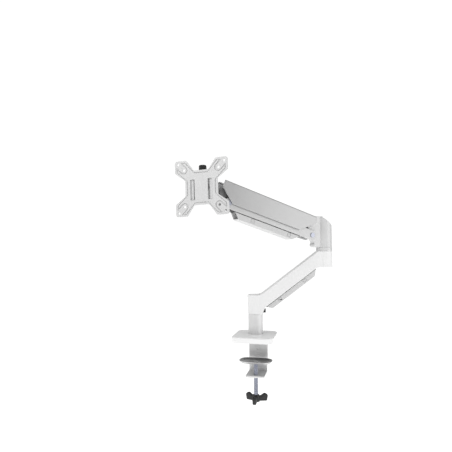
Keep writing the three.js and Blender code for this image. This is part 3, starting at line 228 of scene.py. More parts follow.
def softened(profile, radius):
    """A turned profile of (r, h) points with its corners off the axis rounded."""
    closed = profile[0][0] > 0
    outline = []
    for i, point in enumerate(profile):
        corner = Vector(point)
        before = Vector(profile[i - 1]) - corner
        after = Vector(profile[(i + 1) % len(profile)]) - corner
        if point[0] == 0 and not closed:
            outline.append(tuple(point))
            continue
        reach = min(radius, 0.4 * before.length, 0.4 * after.length)
        start = corner + before.normalized() * reach
        outline.append(tuple(start))
        outline += quadratic(start, corner, corner + after.normalized() * reach, RIM_STEPS)
    return outline


def lathe(profile, axis="Z", centre=(0.0, 0.0), sides=SIDES):
    """A turned solid from (r, h) points, which start and end on the axis or close on themselves."""
    bm = bmesh.new()
    rings = []
    for r, h in profile:
        count = sides if r > 0 else 1
        angles = [2 * math.pi * i / count for i in range(count)]
        spots = [(centre[0] + r * math.cos(a), centre[1] + r * math.sin(a), h) for a in angles]
        rings.append([bm.verts.new(LAY[axis](*spot)) for spot in spots])
    pairs = list(zip(rings, rings[1:]))
    if profile[0][0] > 0:
        pairs.append((rings[-1], rings[0]))
    for low, high in pairs:
        for i in range(sides):
            j = (i + 1) % sides
            corners = (low[i % len(low)], low[j % len(low)], high[j % len(high)], high[i % len(high)])
            corners = list(dict.fromkeys(corners))
            if len(corners) > 2:
                bm.faces.new(corners)
    return linked(bm)


def disc(r, low, high, axis="Z", centre=(0.0, 0.0), rim=0.0, sides=SIDES):
    profile = [(0, low), (r, low), (r, high), (0, high)]
    return lathe(softened(profile, rim) if rim else profile, axis, centre, sides)


def drill(r, low, high, axis="Z", centre=(0.0, 0.0), flare=0.35, sides=48):
    """What cuts a hole through a plate whose faces are at low and high, with a small chamfer at both."""
    wide = r + flare
    half = [(0, low - 1), (wide, low - 1), (wide, low), (r, low + flare)]
    other = [(r, high - flare), (wide, high), (wide, high + 1), (0, high + 1)]
    return lathe(half + other, axis, centre, sides)


def applied(obj):
    """The object with its modifiers turned into mesh."""
    graph = bpy.context.evaluated_depsgraph_get()
    mesh = bpy.data.meshes.new_from_object(obj.evaluated_get(graph))
    obj.modifiers.clear()
    obj.data = mesh
    return obj


def combined(operation, first, others):
    """The first solid after a boolean with each of the others, which are used up."""
    for other in others:
        modifier = first.modifiers.new("combine", "BOOLEAN")
        modifier.operation = operation
        modifier.solver = "MANIFOLD"
        modifier.object = other
    bpy.context.view_layer.update()
    applied(first)
    for other in others:
        bpy.data.objects.remove(other)
    return first


def join(first, *others):
    return combined("UNION", first, others)


def cut(first, *others):
    return combined("DIFFERENCE", first, others)


def meet(first, *others):
    return combined("INTERSECT", first, others)


def soften(obj, width, angle=35, segments=3):
    """Rounds every edge of a plain solid that is sharper than the angle."""
    bm = bmesh.new()
    bm.from_mesh(obj.data)
    bmesh.ops.remove_doubles(bm, verts=bm.verts, dist=1e-3)
    bmesh.ops.dissolve_limit(bm, angle_limit=math.radians(0.6), verts=bm.verts, edges=bm.edges)
    sharp = [e for e in bm.edges if e.is_manifold and e.calc_face_angle() > math.radians(angle)]
    bmesh.ops.bevel(
        bm, geom=sharp, offset=width, offset_type="OFFSET", segments=segments,
        profile=0.5, affect="EDGES", clamp_overlap=True,
    )
    bm.to_mesh(obj.data)
    bm.free()
    return obj


def refined(node, place, width=0.5):
    """A CAD node's own solid with its edges rounded."""
    mesh = frame["nodes"][node].data.copy()
    mesh.transform(Matrix.Scale(1 / MM, 4) @ place.inverted())
    obj = bpy.data.objects.new("solid", mesh)
    bpy.context.scene.collection.objects.link(obj)
    return soften(obj, width)


def turned_profile(node, place, axis):
    """(profile, hexagonal sockets, centre) of a turned CAD node, read off its mesh."""
    back = {"Z": (0, 1, 2), "Y": (0, 2, 1), "X": (1, 2, 0)}[axis]
    points = [[point[k] for k in back] for point in local_points(node, place)]
    centre = [(min(p[k] for p in points) + max(p[k] for p in points)) / 2 for k in (0, 1)]
    spots = [(round(math.hypot(u - centre[0], v - centre[1]), 2), round(w, 2)) for u, v, w in points]
    places = {}
    for spot, point in zip(spots, points):
        places.setdefault(spot, set()).add(tuple(round(x, 1) for x in point))
    widest = max(r for r, h in spots)
    sockets = {spot for spot, seen in places.items() if len(seen) == 6 and spot[0] < widest}
    lines = {}
    for edge in frame["nodes"][node].data.edges:
        ends = {spots[i] for i in edge.vertices}
        if len(ends) == 2 and not ends & sockets:
            for spot in ends:
                lines.setdefault(spot, set()).update(ends - {spot})
    loose = sorted(spot for spot, others in lines.items() if len(others) == 1)
    spot = loose[0] if loose else min(lines)
    profile = [spot]
    while True:
        onward = [other for other in sorted(lines[spot]) if other not in profile]
        if not onward:
            break
        spot = onward[0]
        profile.append(spot)
    if loose:
        profile = [(0, profile[0][1]), *profile, (0, profile[-1][1])]
        steps = zip([None] + profile, profile, profile[1:] + [None])
        profile = [spot for before, spot, after in steps
                   if not before or not after or not before[1] == spot[1] == after[1]]
    return profile, sorted(sockets), centre


def turned(node, place, axis="Z", rim=0.35, sides=SIDES):
    """A turned CAD node made again with a fine round surface, rounded rims and its hexagonal socket."""
    profile, sockets, centre = turned_profile(node, place, axis)
    obj = lathe(softened(profile, rim), axis, centre, sides)
    if sockets:
        heights = [h for r, h in sockets]
        top = max(h for r, h in profile)
        reach = 1 if max(heights) >= top - 0.1 else 0
        low = min(heights) - (1 - reach)
        key = slab(hexagon(sockets[0][0], *centre), low, max(heights) + reach, axis)
        obj = cut(obj, key)
    return obj


# ------------------------------------------------------------------ materials

COAT_ROUGHNESS = 0.12
GRAIN_DEPTH = 0.00003
EDGE_COVER = 0.75  # how much of an edge's colour the painted edge shade, the painted highlight and the wear take over


def links(tree, *pairs):
    """Links each output to its input."""
    for start, end in pairs:
        tree.links.new(start, end)


def node_of(tree, kind, **values):
    """A new shader node with some of its inputs or settings given."""
    made = tree.nodes.new(kind)
    for name, value in values.items():
        if name in made.inputs:
            made.inputs[name].default_value = value
        else:
            setattr(made, name, value)
    return made


def noise(tree, scale, stretch=(1, 1, 1), detail=3.0):
    """Noise in the piece's own coordinates, scale in lumps per metre."""
    where = node_of(tree, "ShaderNodeTexCoord")
    mapping = node_of(tree, "ShaderNodeMapping")
    mapping.inputs["Scale"].default_value = stretch
    texture = node_of(tree, "ShaderNodeTexNoise", Scale=scale, Detail=detail)
    links(tree, (where.outputs["Object"], mapping.inputs["Vector"]),
          (mapping.outputs["Vector"], texture.inputs["Vector"]))
    return texture.outputs["Fac"]


def mapped(tree, value, low, high, start=0.3, end=0.7):
    """value between start and end, spread over low to high."""
    made = node_of(tree, "ShaderNodeMapRange")
    for name, number in (("From Min", start), ("From Max", end), ("To Min", low), ("To Max", high)):
        made.inputs[name].default_value = number
    tree.links.new(value, made.inputs["Value"])
    return made.outputs["Result"]


def shaded(color, factor):
    """The colour made lighter or darker, as RGBA."""
    return tuple(min(1.0, channel * factor) for channel in color) + (1.0,)


def edge_mask(tree, radius):
    """High where the surface turns sharply within the radius, in metres."""
    bevel = node_of(tree, "ShaderNodeBevel", samples=4, Radius=radius)
    geometry = node_of(tree, "ShaderNodeNewGeometry")
    dot = node_of(tree, "ShaderNodeVectorMath", operation="DOT_PRODUCT")
    links(tree, (bevel.outputs["Normal"], dot.inputs[0]), (geometry.outputs["Normal"], dot.inputs[1]))
    return mapped(tree, dot.outputs["Value"], 1.0, 0.0, 0.75, 0.985)


def finish(name, color, rough, metal=0.0, lumps=60, vary=0.04, grain=1600, bump=0.10,
           stretch=(1, 1, 1), edge_wear_and_painted_light=1.12, coat=0.0, spread=0.06, edge=0.001):
    """A surface with slow colour and gloss variation, a fine grain in its relief and edges painted lighter or
    darker.

    The edge factor is the edges' brightness over the rest: below 1 it paints a shade line along the edges, above 1
    it lightens them as wear, and on the dish's rim as a painted highlight. edge is their width in metres.
    """
    material = bpy.data.materials.new(name)
    material.use_nodes = True
    tree = material.node_tree
    shader = tree.nodes["Principled BSDF"]
    shader.inputs["Metallic"].default_value = metal
    shader.inputs["Coat Weight"].default_value = coat
    shader.inputs["Coat Roughness"].default_value = COAT_ROUGHNESS
    slow = noise(tree, lumps, detail=4.0)
    fine = noise(tree, grain, stretch, 2.0)
    tone = node_of(tree, "ShaderNodeMix", data_type="RGBA")
    tone.inputs["A"].default_value = shaded(color, 1 - vary)
    tone.inputs["B"].default_value = shaded(color, 1 + vary)
    # Edge tint: darker edges are a painted shade line, lighter edges are wear, and on the dish's rim a painted
    # highlight.
    edge_wear_and_light_tone = node_of(tree, "ShaderNodeMix", data_type="RGBA")
    edge_wear_and_light_tone.inputs["B"].default_value = shaded(color, edge_wear_and_painted_light)
    both = node_of(tree, "ShaderNodeMath", operation="MULTIPLY_ADD")
    both.inputs[1].default_value = spread
    relief = node_of(tree, "ShaderNodeBump", Strength=bump, Distance=GRAIN_DEPTH)
    edge_wear_and_light_share = node_of(tree, "ShaderNodeMath", operation="MULTIPLY")
    edge_wear_and_light_share.inputs[1].default_value = EDGE_COVER
    links(
        tree,
        (mapped(tree, slow, 0.0, 1.0), tone.inputs["Factor"]),
        (tone.outputs["Result"], edge_wear_and_light_tone.inputs["A"]),
        (edge_mask(tree, edge), edge_wear_and_light_share.inputs[0]),
        (edge_wear_and_light_share.outputs["Value"], edge_wear_and_light_tone.inputs["Factor"]),
        (edge_wear_and_light_tone.outputs["Result"], shader.inputs["Base Color"]),
        (mapped(tree, fine, -1.0, 1.0), both.inputs[0]),
        (mapped(tree, slow, rough - spread / 2, rough + spread / 2), both.inputs[2]),
        (both.outputs["Value"], shader.inputs["Roughness"]),
        (fine, relief.inputs["Height"]),
        (relief.outputs["Normal"], shader.inputs["Normal"]),
    )
    return material


def gray(level, blue=0.0):
    """Linear colour of an 8-bit grey, a little bluer where blue is above 0."""
    value = level / 255
    linear = ((value + 0.055) / 1.055) ** 2.4
    return (linear * (1 - blue), linear * (1 - blue * 0.6), linear * (1 + blue))


ALONG_Z = (1, 1, 0.06)  # grain drawn out along Z
# Edge factors below 1 darken the edges of the light pieces as a painted shade line. Factors above 1 lighten the
# edges of the dark pieces as wear.
MATERIALS = {
    "gloss_white": finish("gloss white plastic", gray(243), 0.12, lumps=30, vary=0.012, grain=260, bump=0.03,
                          edge_wear_and_painted_light=0.66, coat=0.2, spread=0.03, edge=0.0022),
    "white_paint": finish("white powder coat", gray(238), 0.45, lumps=25, vary=0.012, grain=1300, edge_wear_and_painted_light=0.70),
    "silver_paint": finish("satin silver coat", gray(187), 0.36, metal=0.8, lumps=30, vary=0.03, edge_wear_and_painted_light=0.72),
    "link_paint": finish("light silver coat", gray(200), 0.40, metal=0.5, lumps=30, vary=0.03, edge_wear_and_painted_light=0.72),
    "knuckle_paint": finish("cast knuckle coat", gray(214), 0.42, metal=0.2, lumps=30, vary=0.02, edge_wear_and_painted_light=0.72),
    "plate_paint": finish("plate coat", gray(214), 0.42, metal=0.15, lumps=35, vary=0.02, grain=1400,
                          edge_wear_and_painted_light=0.62),
    "pale_plastic": finish("pale moulded plastic", gray(208), 0.50, lumps=40, vary=0.02, grain=1500,
                           bump=0.14, edge_wear_and_painted_light=0.75),
    "satin_steel": finish("satin plated steel", gray(216), 0.38, metal=0.55, grain=1200,
                          stretch=(1, 1, 0.25)),
    # Its strong, wide edge factor paints a highlight along the dish's rolled rim.
    "rolled_steel": finish("rolled steel", gray(190), 0.36, metal=0.75, grain=1200, edge_wear_and_painted_light=1.7, edge=0.003),
    "brushed_pole": finish("brushed tube", gray(222), 0.40, metal=0.45, grain=1800, stretch=ALONG_Z,
                           edge_wear_and_painted_light=0.85),
    "blue_steel": finish("zinc plated steel", gray(186, 0.09), 0.28, metal=0.95, lumps=90, vary=0.06,
                         grain=1200, bump=0.08),
    "dark_metal": finish("dark satin coat", gray(138), 0.45, metal=0.45, lumps=50, vary=0.06, bump=0.12,
                         edge_wear_and_painted_light=1.45),
    "black_oxide": finish("black satin coat", gray(46), 0.40, metal=0.6, vary=0.10, edge_wear_and_painted_light=1.8),
    "black_plastic": finish("black moulded plastic", gray(26), 0.50, vary=0.10, grain=1400, bump=0.18,
                            edge_wear_and_painted_light=1.5),
    "nylon": finish("natural nylon", gray(226), 0.55, vary=0.03, grain=900, bump=0.08, edge_wear_and_painted_light=1.03),
    "rubber": finish("rubber sheet", gray(52), 0.85, lumps=80, vary=0.12, grain=1100, bump=0.35, edge_wear_and_painted_light=1.25),
}
# Nodes whose finish differs a little from their slot's usual one; the dish's steel paints a highlight on its rim.
FINISH_OF = {"elbow_knuckle": "knuckle_paint", "elbow_ring": "knuckle_paint", "pressure_dish": "rolled_steel"}


def piece(obj, node, place, smooth=38):
    """Sets a finished solid in its place, as what shows of a CAD node."""
    obj.name = node + "_finished"
    mesh = obj.data
    mesh.name = obj.name
    mesh.transform(place @ Matrix.Scale(MM, 4))
    mesh.shade_smooth()
    mesh.set_sharp_from_angle(angle=math.radians(smooth))
    mesh.materials.clear()
    mesh.materials.append(MATERIALS[FINISH_OF.get(node, SLOT_OF[node])])
    weighted = obj.modifiers.new("flat faces", "WEIGHTED_NORMAL")
    weighted.keep_sharp = True
    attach(obj, BODY_OF[node])
    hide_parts(node)
    return obj


# ------------------------------------------------------------------ base and desk clamp

STEEL = 4.0
BOLT_R = 3.0
BOLT_HEAD_R = 5.5


def base_cover():
    """A moulded shell, open below, with a notch for the top bracket's leg and a hole for the pole."""
    low, high = local_box("base_cover", BASE)
    wall, corner, edge = 2.5, 20, 2.2
    pole_r = local_box("pole", BASE)[1].x + FIT
    steel_low, steel_high = local_box("top_bracket", BASE)
    outline = lambda d: rectangle((low.x + d, high.x - d), (low.y + d, high.y - d), corner - d / 2, 14)
    outer = slab(outline(0), low.z, high.z, rim=edge, low_rim=0.4)
    inside = slab(outline(wall), low.z - 1, high.z - wall, rim=1)
    notch = block((steel_low.x - FIT, steel_high.x + FIT), (steel_high.y - STEEL - FIT, high.y + 1),
                  (-1, steel_high.z + FIT))
    hole = drill(pole_r, high.z - wall, high.z, flare=0.5, sides=SIDES)
    return cut(outer, inside, notch, hole)


def desk_pad():
    low, high = local_box("desk_pad", BASE)
    front = rectangle((low.x, high.x), (low.y, low.y + 103.4), 18.6, 14)
    keep = block((low.x - 1, high.x + 1), (low.y - 1, high.y), (low.z - 1, high.z + 1))
    return meet(slab(front, low.z, high.z, rim=0.3), keep)


def bolt_holes(face, back, sink):
    """Clearance holes for both bracket bolts, with a sink of that depth for their heads."""
    tools = []
    for node in ("bracket_bolt_upper", "bracket_bolt_lower"):
        low, high = local_box(node, BASE)
        z = (low.z + high.z) / 2
        tools.append(drill(BOLT_R + FIT, face, back, "Y", (0, z), 0.3))
        if sink:
            tools.append(disc(BOLT_HEAD_R + FIT, face - 1, face + sink, "Y", (0, z)))
    return tools


def top_bracket():
    """The plate under the base cover, bent down behind the desk's edge."""
    low, high = local_box("top_bracket", BASE)
    face = high.y - STEEL
    bottom = high.z - STEEL
    profile = [(low.y, bottom, 0), (face, bottom, 1), (face, low.z, 0), (high.y, low.z, 0),
               (high.y, high.z, STEEL), (low.y, high.z, 0)]
    plate = slab(rounded(profile, 10), low.x, high.x, "X", 0.45)
    sink = disc(local_box("pole_screw", BASE)[1].y + FIT, bottom - 1, bottom + 2)
    return cut(plate, drill(BOLT_R + 1 + FIT, bottom, high.z), sink, *bolt_holes(face, high.y, 0))


def lower_bracket():
    """The adjustable leg, bent forwards under the desk to carry the clamp screw."""
    low, high = local_box("lower_bracket", BASE)
    face, inner, flange = high.y, high.y - STEEL, low.z + STEEL
    profile = [(low.y, low.z, 0), (face, low.z, STEEL + 1), (face, high.z, 0), (inner, high.z, 0),
               (inner, flange, 1), (low.y, flange, 0)]
    corner = 5
    front = rounded([(low.x, low.z - 9, 0), (high.x, low.z - 9, 0), (high.x, high.z, corner),
                     (low.x, high.z, corner)], 10)
    plan = rectangle((low.x, high.x), (low.y, high.y + 5), corner / 2)
    bent = slab(rounded(profile, 10), low.x, high.x, "X", 0.45)
    bent = meet(bent, slab(front, -90, 90, "Y"), slab(plan, low.z - 1, 0))
    screw = drill(local_box("clamp_screw", BASE)[1].y + FIT, low.z, flange)
    return cut(bent, screw, *bolt_holes(inner, face, STEEL / 2))


def pressure_dish():
    """A pressed oval dish with a rolled rim, a flat floor and a ring pressed round its rivet."""
    low, high = local_box("pressure_dish", BASE)
    sheet, depth = 1.8, high.z - low.z
    half_x, half_y = high.x, high.y

    def oval(d, z):
        outline = rectangle((d - half_x, half_x - d), (d - half_y, half_y - d), (half_y - d) * 0.95, 24)
        return [(u, v, z) for u, v in outline]

    outside = [(depth + 2, 0), (depth, 0.1), (depth - 1.4, 0.7), (0.8, depth - 1.2), (0.15, depth - 0.6)]
    loops = [oval(d, low.z + z) for d, z in outside]
    loops += [oval(d, high.z - z) for d, z in ((0, 0.25), (0.25, 0), (1.2, 0), (1.6, 0.3))]
    inside = [(sheet + 0.8, depth - 1.6 + sheet * 0.5), (depth - 0.6, 0.7 + sheet), (depth + 1, 0.05 + sheet)]
    loops += [oval(d, low.z + z) for d, z in inside]
    dish = loft(loops)
    neck = local_box("dish_rivet", BASE)[1].y / 2 + FIT
    ring = lathe([(9, low.z + 1), (11, low.z + 1), (10.4, low.z + sheet + 0.6), (9.6, low.z + sheet + 0.6)])
    return cut(join(dish, ring), drill(neck, low.z, low.z + sheet, flare=0.2))


def clamp_screw():
    """A screw with its thread cut, and a plain neck that the dish turns on."""
    low, high = local_box("clamp_screw", BASE)
    r, pitch, cut_depth, rows, sides = high.y, 1.5, 0.72, 10, 60
    neck_r = 3.0
    shoulder = local_box("pressure_dish", BASE)[0].z - FIT

    def thread(turn):
        """Depth of the thread across one pitch: flat crest, flanks and a narrow root."""
        t = abs(turn % 1 - 0.5) * 2
        return cut_depth * min(1, max(0, (t - 0.12) / 0.72))

    loops = []
    for k in range(int((shoulder - low.z) / pitch * rows) + 1):
        z = low.z + k * pitch / rows
        ends = min(1, (z - low.z) / pitch + 0.1, (shoulder - z) / pitch + 0.1)
        loop = []
        for i in range(sides):
            angle = 2 * math.pi * i / sides
            radius = r - cut_depth * (1 - ends) - thread(z / pitch - i / sides) * ends
            loop.append((radius * math.cos(angle), radius * math.sin(angle), z))
        loops.append(loop)
    return join(loft(loops), disc(neck_r, shoulder - 2, high.z, rim=0.4))


def wing_knob():
    """Three thick rounded wings round a hub."""
    low, high = local_box("wing_knob", BASE)
    reach, thick, hub = 30.0, 4.25, 9.5
    bottom, top = low.z, high.z
    shape = [(0, bottom + 2, 1), (reach - 3, bottom, 3), (reach, top - 5, 4), (reach - 7, top, 4),
             (hub + 2, top - 6, 3), (0, top - 6, 0)]
    knob = lathe(softened([(0, bottom + 1), (hub, bottom + 1), (hub - 1.5, top - 2), (0, top - 2)], 1.4))
    wings = []
    for angle in (-90, 30, 150):
        wing = slab(rounded(shape, 9), -thick, thick, "Y", 1.9)
        wing.data.transform(Matrix.Rotation(math.radians(angle), 4, "Z"))
        wings.append(wing)
    bore = disc(local_box("clamp_screw", BASE)[1].y + FIT, local_box("clamp_screw", BASE)[0].z - FIT, 0)
    dimple = lathe([(0, bottom), (6, bottom), (5, bottom + 2.4), (0, bottom + 2.4)])
    return cut(join(knob, *wings), bore, dimple)


# ------------------------------------------------------------------ lower arm

REACH = (elbow_axis - pole_axis).to_2d().length / MM


def web_line():
    """Slope and a height on the web's lower edge, from the cable cover that is clipped along it."""
    corners = local_points("lower_cable_cover", LOWER)
    start = min(corners, key=lambda p: p.x)
    end = max(corners, key=lambda p: p.x + p.z)
    slope = (end.z - start.z) / (end.x - start.x)
    return slope, start


def lower_arm_shell():
    """The slanted web and its two sockets, bored for bushes, with a cable channel below."""
    low, high = local_box("lower_arm_shell", LOWER)
    r = high.y
    half = 17.5
    cap_top = local_box("pole_cap", LOWER)[1].z + FIT
    elbow_low = local_box("elbow_retaining_screw", LOWER)[0].z - 1.4
    left = REACH - r
    web_low = 74.0
    slope = (elbow_low - web_low) / (left - r)
    under = lambda x: web_low + slope * (x - r)
    over = lambda x: high.z - 0.5 - slope * (left + 1 - x)
    side = [(0, low.z), (r - 4, low.z)]
    side += quadratic((r - 4, low.z), (r, low.z + 8), (r + 4, under(r + 4)), 12)
    side += [(left - 3, under(left - 3))]
    side += quadratic((left - 3, under(left - 3)), (left, elbow_low), (left + 5, elbow_low), 8)
    side += [(REACH, elbow_low), (REACH, high.z), (left + 2, high.z)]
    side += [(left + 1, over(left + 1)), (16, over(16))]
    side += quadratic((16, over(16)), (8.5, cap_top), (1, cap_top), 12)
    side += [(0, cap_top)]
    web = slab(side, -half, half, "Y", 0.9)
    pole_socket = disc(r, low.z, cap_top, rim=1.3)
    elbow_socket = disc(r, elbow_low, high.z, centre=(REACH, 0), rim=0.9)
    body = join(web, pole_socket, elbow_socket)
    bore = local_box("pole_bush_lower", LOWER)[1].y + FIT
    cap = local_box("pole_cap", LOWER)
    elbow_bore = local_box("elbow_bush", LOWER)[1].y + FIT
    screw_low, screw_high = local_box("friction_screw", LOWER)
    screw_z = (screw_low.z + screw_high.z) / 2
    channel_x = (r + 14, left - 10)
    channel = [(x, under(x) + d) for x, d in
               ((channel_x[0], -5), (channel_x[1], -5), (channel_x[1], 14), (channel_x[0], 14))]
    return cut(
        body,
        disc(bore, 0, cap[0].z - FIT),
        drill(cap[1].y + FIT, cap[0].z - FIT, cap_top, sides=SIDES),
        drill(elbow_bore, elbow_low, high.z, centre=(REACH, 0), sides=SIDES),
        disc(screw_high.y + FIT, 0, r + 12, "X", (0, screw_z)),
        slab(channel, -8.9, 8.9, "Y"),
    )


def clip_windows(half, depth, places, size=9.4):
    """Pockets in both flanks of a cable cover, which leave its spring clips standing."""
    tools = []
    for x in places:
        outline = rectangle((x - size / 2, x + size / 2), (-depth + 3.2, -2.2), 0.8)
        frame_line = inset(anticlockwise(outline), 0.9)
        for side in (-1, 1):
            y = sorted((side * (half - 0.55), side * (half + 1)))
            ring = slab(outline, *y, "Y")
            core = slab(frame_line, y[0] - 1, y[1] + 1, "Y")
            tools.append(cut(ring, core))
    return tools


def cable_cover(span, slopes, depth, clips, half=12.5, wall=1.8):
    """An open channel with slanted ends and spring clips, drawn below the line z = 0."""
    outer = rounded([(span[0], -FIT, 0.4), (span[0] + slopes[0], -depth, 3),
                     (span[1] - slopes[1], -depth, 3), (span[1], -FIT, 0.4)], 8)
    body = slab(outer, -half, half, "Y", 1.2)
    hollow = block((span[0] - 1, span[1] + 1), (wall - half, half - wall), (wall - depth, 1))
    return cut(body, hollow, *clip_windows(half, depth, clips))


# ------------------------------------------------------------------ elbow

def elbow_knuckle():
    """The elbow's tube with its slanted top, and the slotted tongue that carries the link pins."""
    low, high = local_box("elbow_knuckle", ELBOW)
    r = local_box("elbow_ring", ELBOW)[1].y - 0.4
    x = (upper_pin - elbow_axis).to_2d().length / MM
    upper = upper_pin.z / MM
    lower = place_of("lower_link_swing").z / MM
    anchor_low, anchor_high = local_box("spring_anchor_pin", ELBOW)
    anchor = (anchor_low.z + anchor_high.z) / 2
    base, top, short = low.z, high.z, 268.0
    side = [(-r - 1, base - 1), (r + 1, base - 1), (r + 1, top), (r - 2, top), (-r, short),
            (-r - 1, short - 1)]
    tube = meet(disc(r, base, top + 1), slab(side, -r - 1, r + 1, "Y"))
    tube = soften(tube, 1.1)
    tongue = [(9, base), (x - 20, base)]
    for corner, end in (((x - 9, base), (x - 9, base + 5)), ((x - 9, base + 8), (x - 11, base + 10)),
                        ((x - 10, base + 17), (x - 3, lower - 8)), ((x + 10, lower - 8), (x + 10, lower)),
                        ((x + 11, lower + 9), (x + 6, upper - 20))):
        tongue += quadratic(tongue[-1], corner, end, 9)
    tongue += [(x + 9, upper - 6)] + arc(x, upper, 10.8, -30, 108, 22) + [(x - 12, top), (9, top)]
    half = 8.5
    screw = local_box("tension_screw", ELBOW)
    screw_x = (screw[0].x + screw[1].x) / 2
    slot = block((screw_x - 5 - FIT, x + 30), (-4.8, 4.8), (anchor - 11.8, anchor + 11.8))
    spindle = local_box("elbow_spindle", ELBOW)[1]
    pin_r = local_box("elbow_upper_pin", ELBOW)[1].z - upper + FIT
    return cut(
        join(tube, slab(tongue, -half, half, "Y", 0.9)),
        slot,
        disc(spindle.y + FIT, 0, spindle.z + FIT),
        drill(pin_r, -half, half, "Y", (x, lower)),
        drill(pin_r, -half, half, "Y", (x, upper)),
        drill(anchor_high.z - anchor + FIT, -half, half, "Y", (x, anchor), 0.2),
        disc(2.8, anchor - 16.1, top + 5, centre=(screw_x, 0)),
        drill(4.8, screw[1].z - 5, top, centre=(screw_x, 0)),
    )


# ------------------------------------------------------------------ upper arm

LENGTH = (head_pin - upper_pin).length / MM


def upper_arm_cover():
    """A channel with slanted ends and bevelled long edges, open below."""
    low, high = local_box("upper_arm_cover", UPPER)
    half, wall, band = high.y, 2.4, 4.0
    side = [(high.x - 4, high.z, 2), (high.x, -4, 3), (high.x - 34, low.z, 2), (31, low.z, 2), (low.x, -3, 2),
            (low.x + 2, high.z - 3, 2), (2, high.z, 2)]
    section = [(-half, low.z - 1, 0), (half, low.z - 1, 0), (half, high.z - band * 0.6, 2),
               (half - band, high.z, 2), (band - half, high.z, 2), (-half, high.z - band * 0.6, 2)]
    outer = slab(rounded(side, 6), -half, half, "Y", 0.7)
    outer = meet(outer, slab(rounded(section, 8), low.x - 5, high.x + 5, "X"))
    inner = half - wall
    hollow = block((low.x - 9, high.x + 9), (-inner, inner), (low.z - 1, high.z - wall))
    notches = [block(x, (3 - inner, inner - 3), (0, high.z + 1))
               for x in ((LENGTH - 8, high.x + 9), (low.x - 9, 8))]
    return cut(outer, hollow, *notches)


def channel_link(node, place, web_ends, web_on_top):
    """A pressed channel with round ends about its pins, and chamfered holes for the pins."""
    low, high = local_box(node, place)
    half, sheet = high.y, 2.5
    above, below = high.z, -low.z
    r = min(above, below)
    wall = [(0, above)] + arc(0, 0, r, 90, 270, 28)
    wall += [(web_ends[0], -below), (web_ends[1], -below)] + arc(LENGTH, 0, r, -90, 90, 28)
    wall += [(web_ends[1], above), (web_ends[0], above)]
    hollow_z = (low.z - 1, high.z - sheet) if web_on_top else (low.z + sheet, high.z + 1)
    inner = half - sheet
    far = LENGTH + FAR
    pin_r = local_box("elbow_upper_pin", UPPER)[1].z + FIT
    return cut(
        slab(wall, -half, half, "Y", 0.8),
        block((-FAR, far), (-inner, inner), hollow_z),
        block((-FAR, web_ends[0]), (-inner, inner), (-FAR, FAR)),
        block((web_ends[1], far), (-inner, inner), (-FAR, FAR)),
        drill(pin_r, -half, half, "Y", (0, 0)),
        drill(pin_r, -half, half, "Y", (LENGTH, 0)),
    )


def strut_frame():
    """The gas spring's frame: its origin on the head pin, +X along the rod's travel."""
    low, high = local_box("spring_head_pin", UPPER)
    middle = (low + high) / 2 * MM
    return axes(UPPER @ middle, axis_of("gas_rod_slide"), UP)


STRUT = strut_frame()


def gas_cylinder():
    """A cylinder with a rolled mouth and a crimped end, and the eye on its head pin."""
    high = local_box("gas_cylinder", STRUT)[1]
    r = high.z
    start, end, bore = 11.0, high.x, 4.3
    profile = [(0, start), (r - 1.5, start), (r, start + 2), (r, end - 7), (r - 0.7, end - 6),
               (r - 0.7, end - 4.6), (r, end - 3.6), (r, end - 1.2), (r - 1.2, end), (bore, end),
               (bore, 30), (0, 30)]
    body = lathe(softened(profile, 0.5), "X")
    stem = disc(4.5, 2, start + 1, "X", sides=48)
    eye = disc(7, -5, 5, "Y", rim=0.6)
    return cut(join(body, stem, eye), drill(3.3, -5, 5, "Y"))


def gas_rod():
    low, high = local_box("gas_rod", STRUT)
    hole = high.z - 2.2
    centre = high.x - high.z
    eye = disc(high.z, -4, 4, "Y", (centre, 0), rim=0.6)
    rod = disc(4, low.x, centre - hole, "X", rim=0.4, sides=64)
    return cut(join(rod, eye), drill(hole, -4, 4, "Y", (centre, 0)))


# ------------------------------------------------------------------ head

TILT_BOLT_R = 4.0


def head_knuckle():
    """A block on the two link pins, with two round lugs for the pan spindle."""
    out = (place_of("head_pan") - head_pin).to_2d().length / MM
    spacing = (head_pin.z - place_of("lower_link_swing").z) / MM - (head_pin.z - upper_pin.z) / MM
    lug_top = local_box("pan_washer_upper", PAN)[0].z - FIT
    lug_low = local_box("pan_washer_lower", PAN)[1].z + FIT
    lug = 5.0
    side = arc(0, 0, 10, 90, 180, 14) + arc(0, -spacing, 10, 180, 360, 28)
    side += [(12, lug_low), (out, lug_low), (out, lug_top), (11, lug_top)]
    body = slab(side, -8, 8, "Y", 0.7)
    lugs = [disc(11, lug_top - lug, lug_top, centre=(out, 0), rim=0.6),
            disc(11, lug_low, lug_low + lug, centre=(out, 0), rim=0.6)]
    pin = local_box("head_upper_pin", HEAD)[1].z + FIT
    spindle = local_box("pan_spindle", PAN)[1].y + FIT
    return cut(
        join(body, *lugs),
        block((out - 12, out + 20), (-20, 20), (lug_low + lug, lug_top - lug)),
        disc(spindle, -60, 20, centre=(out, 0)),
        drill(pin, -8, 8, "Y"),
        drill(pin, -8, 8, "Y", (0, -spacing)),
    )


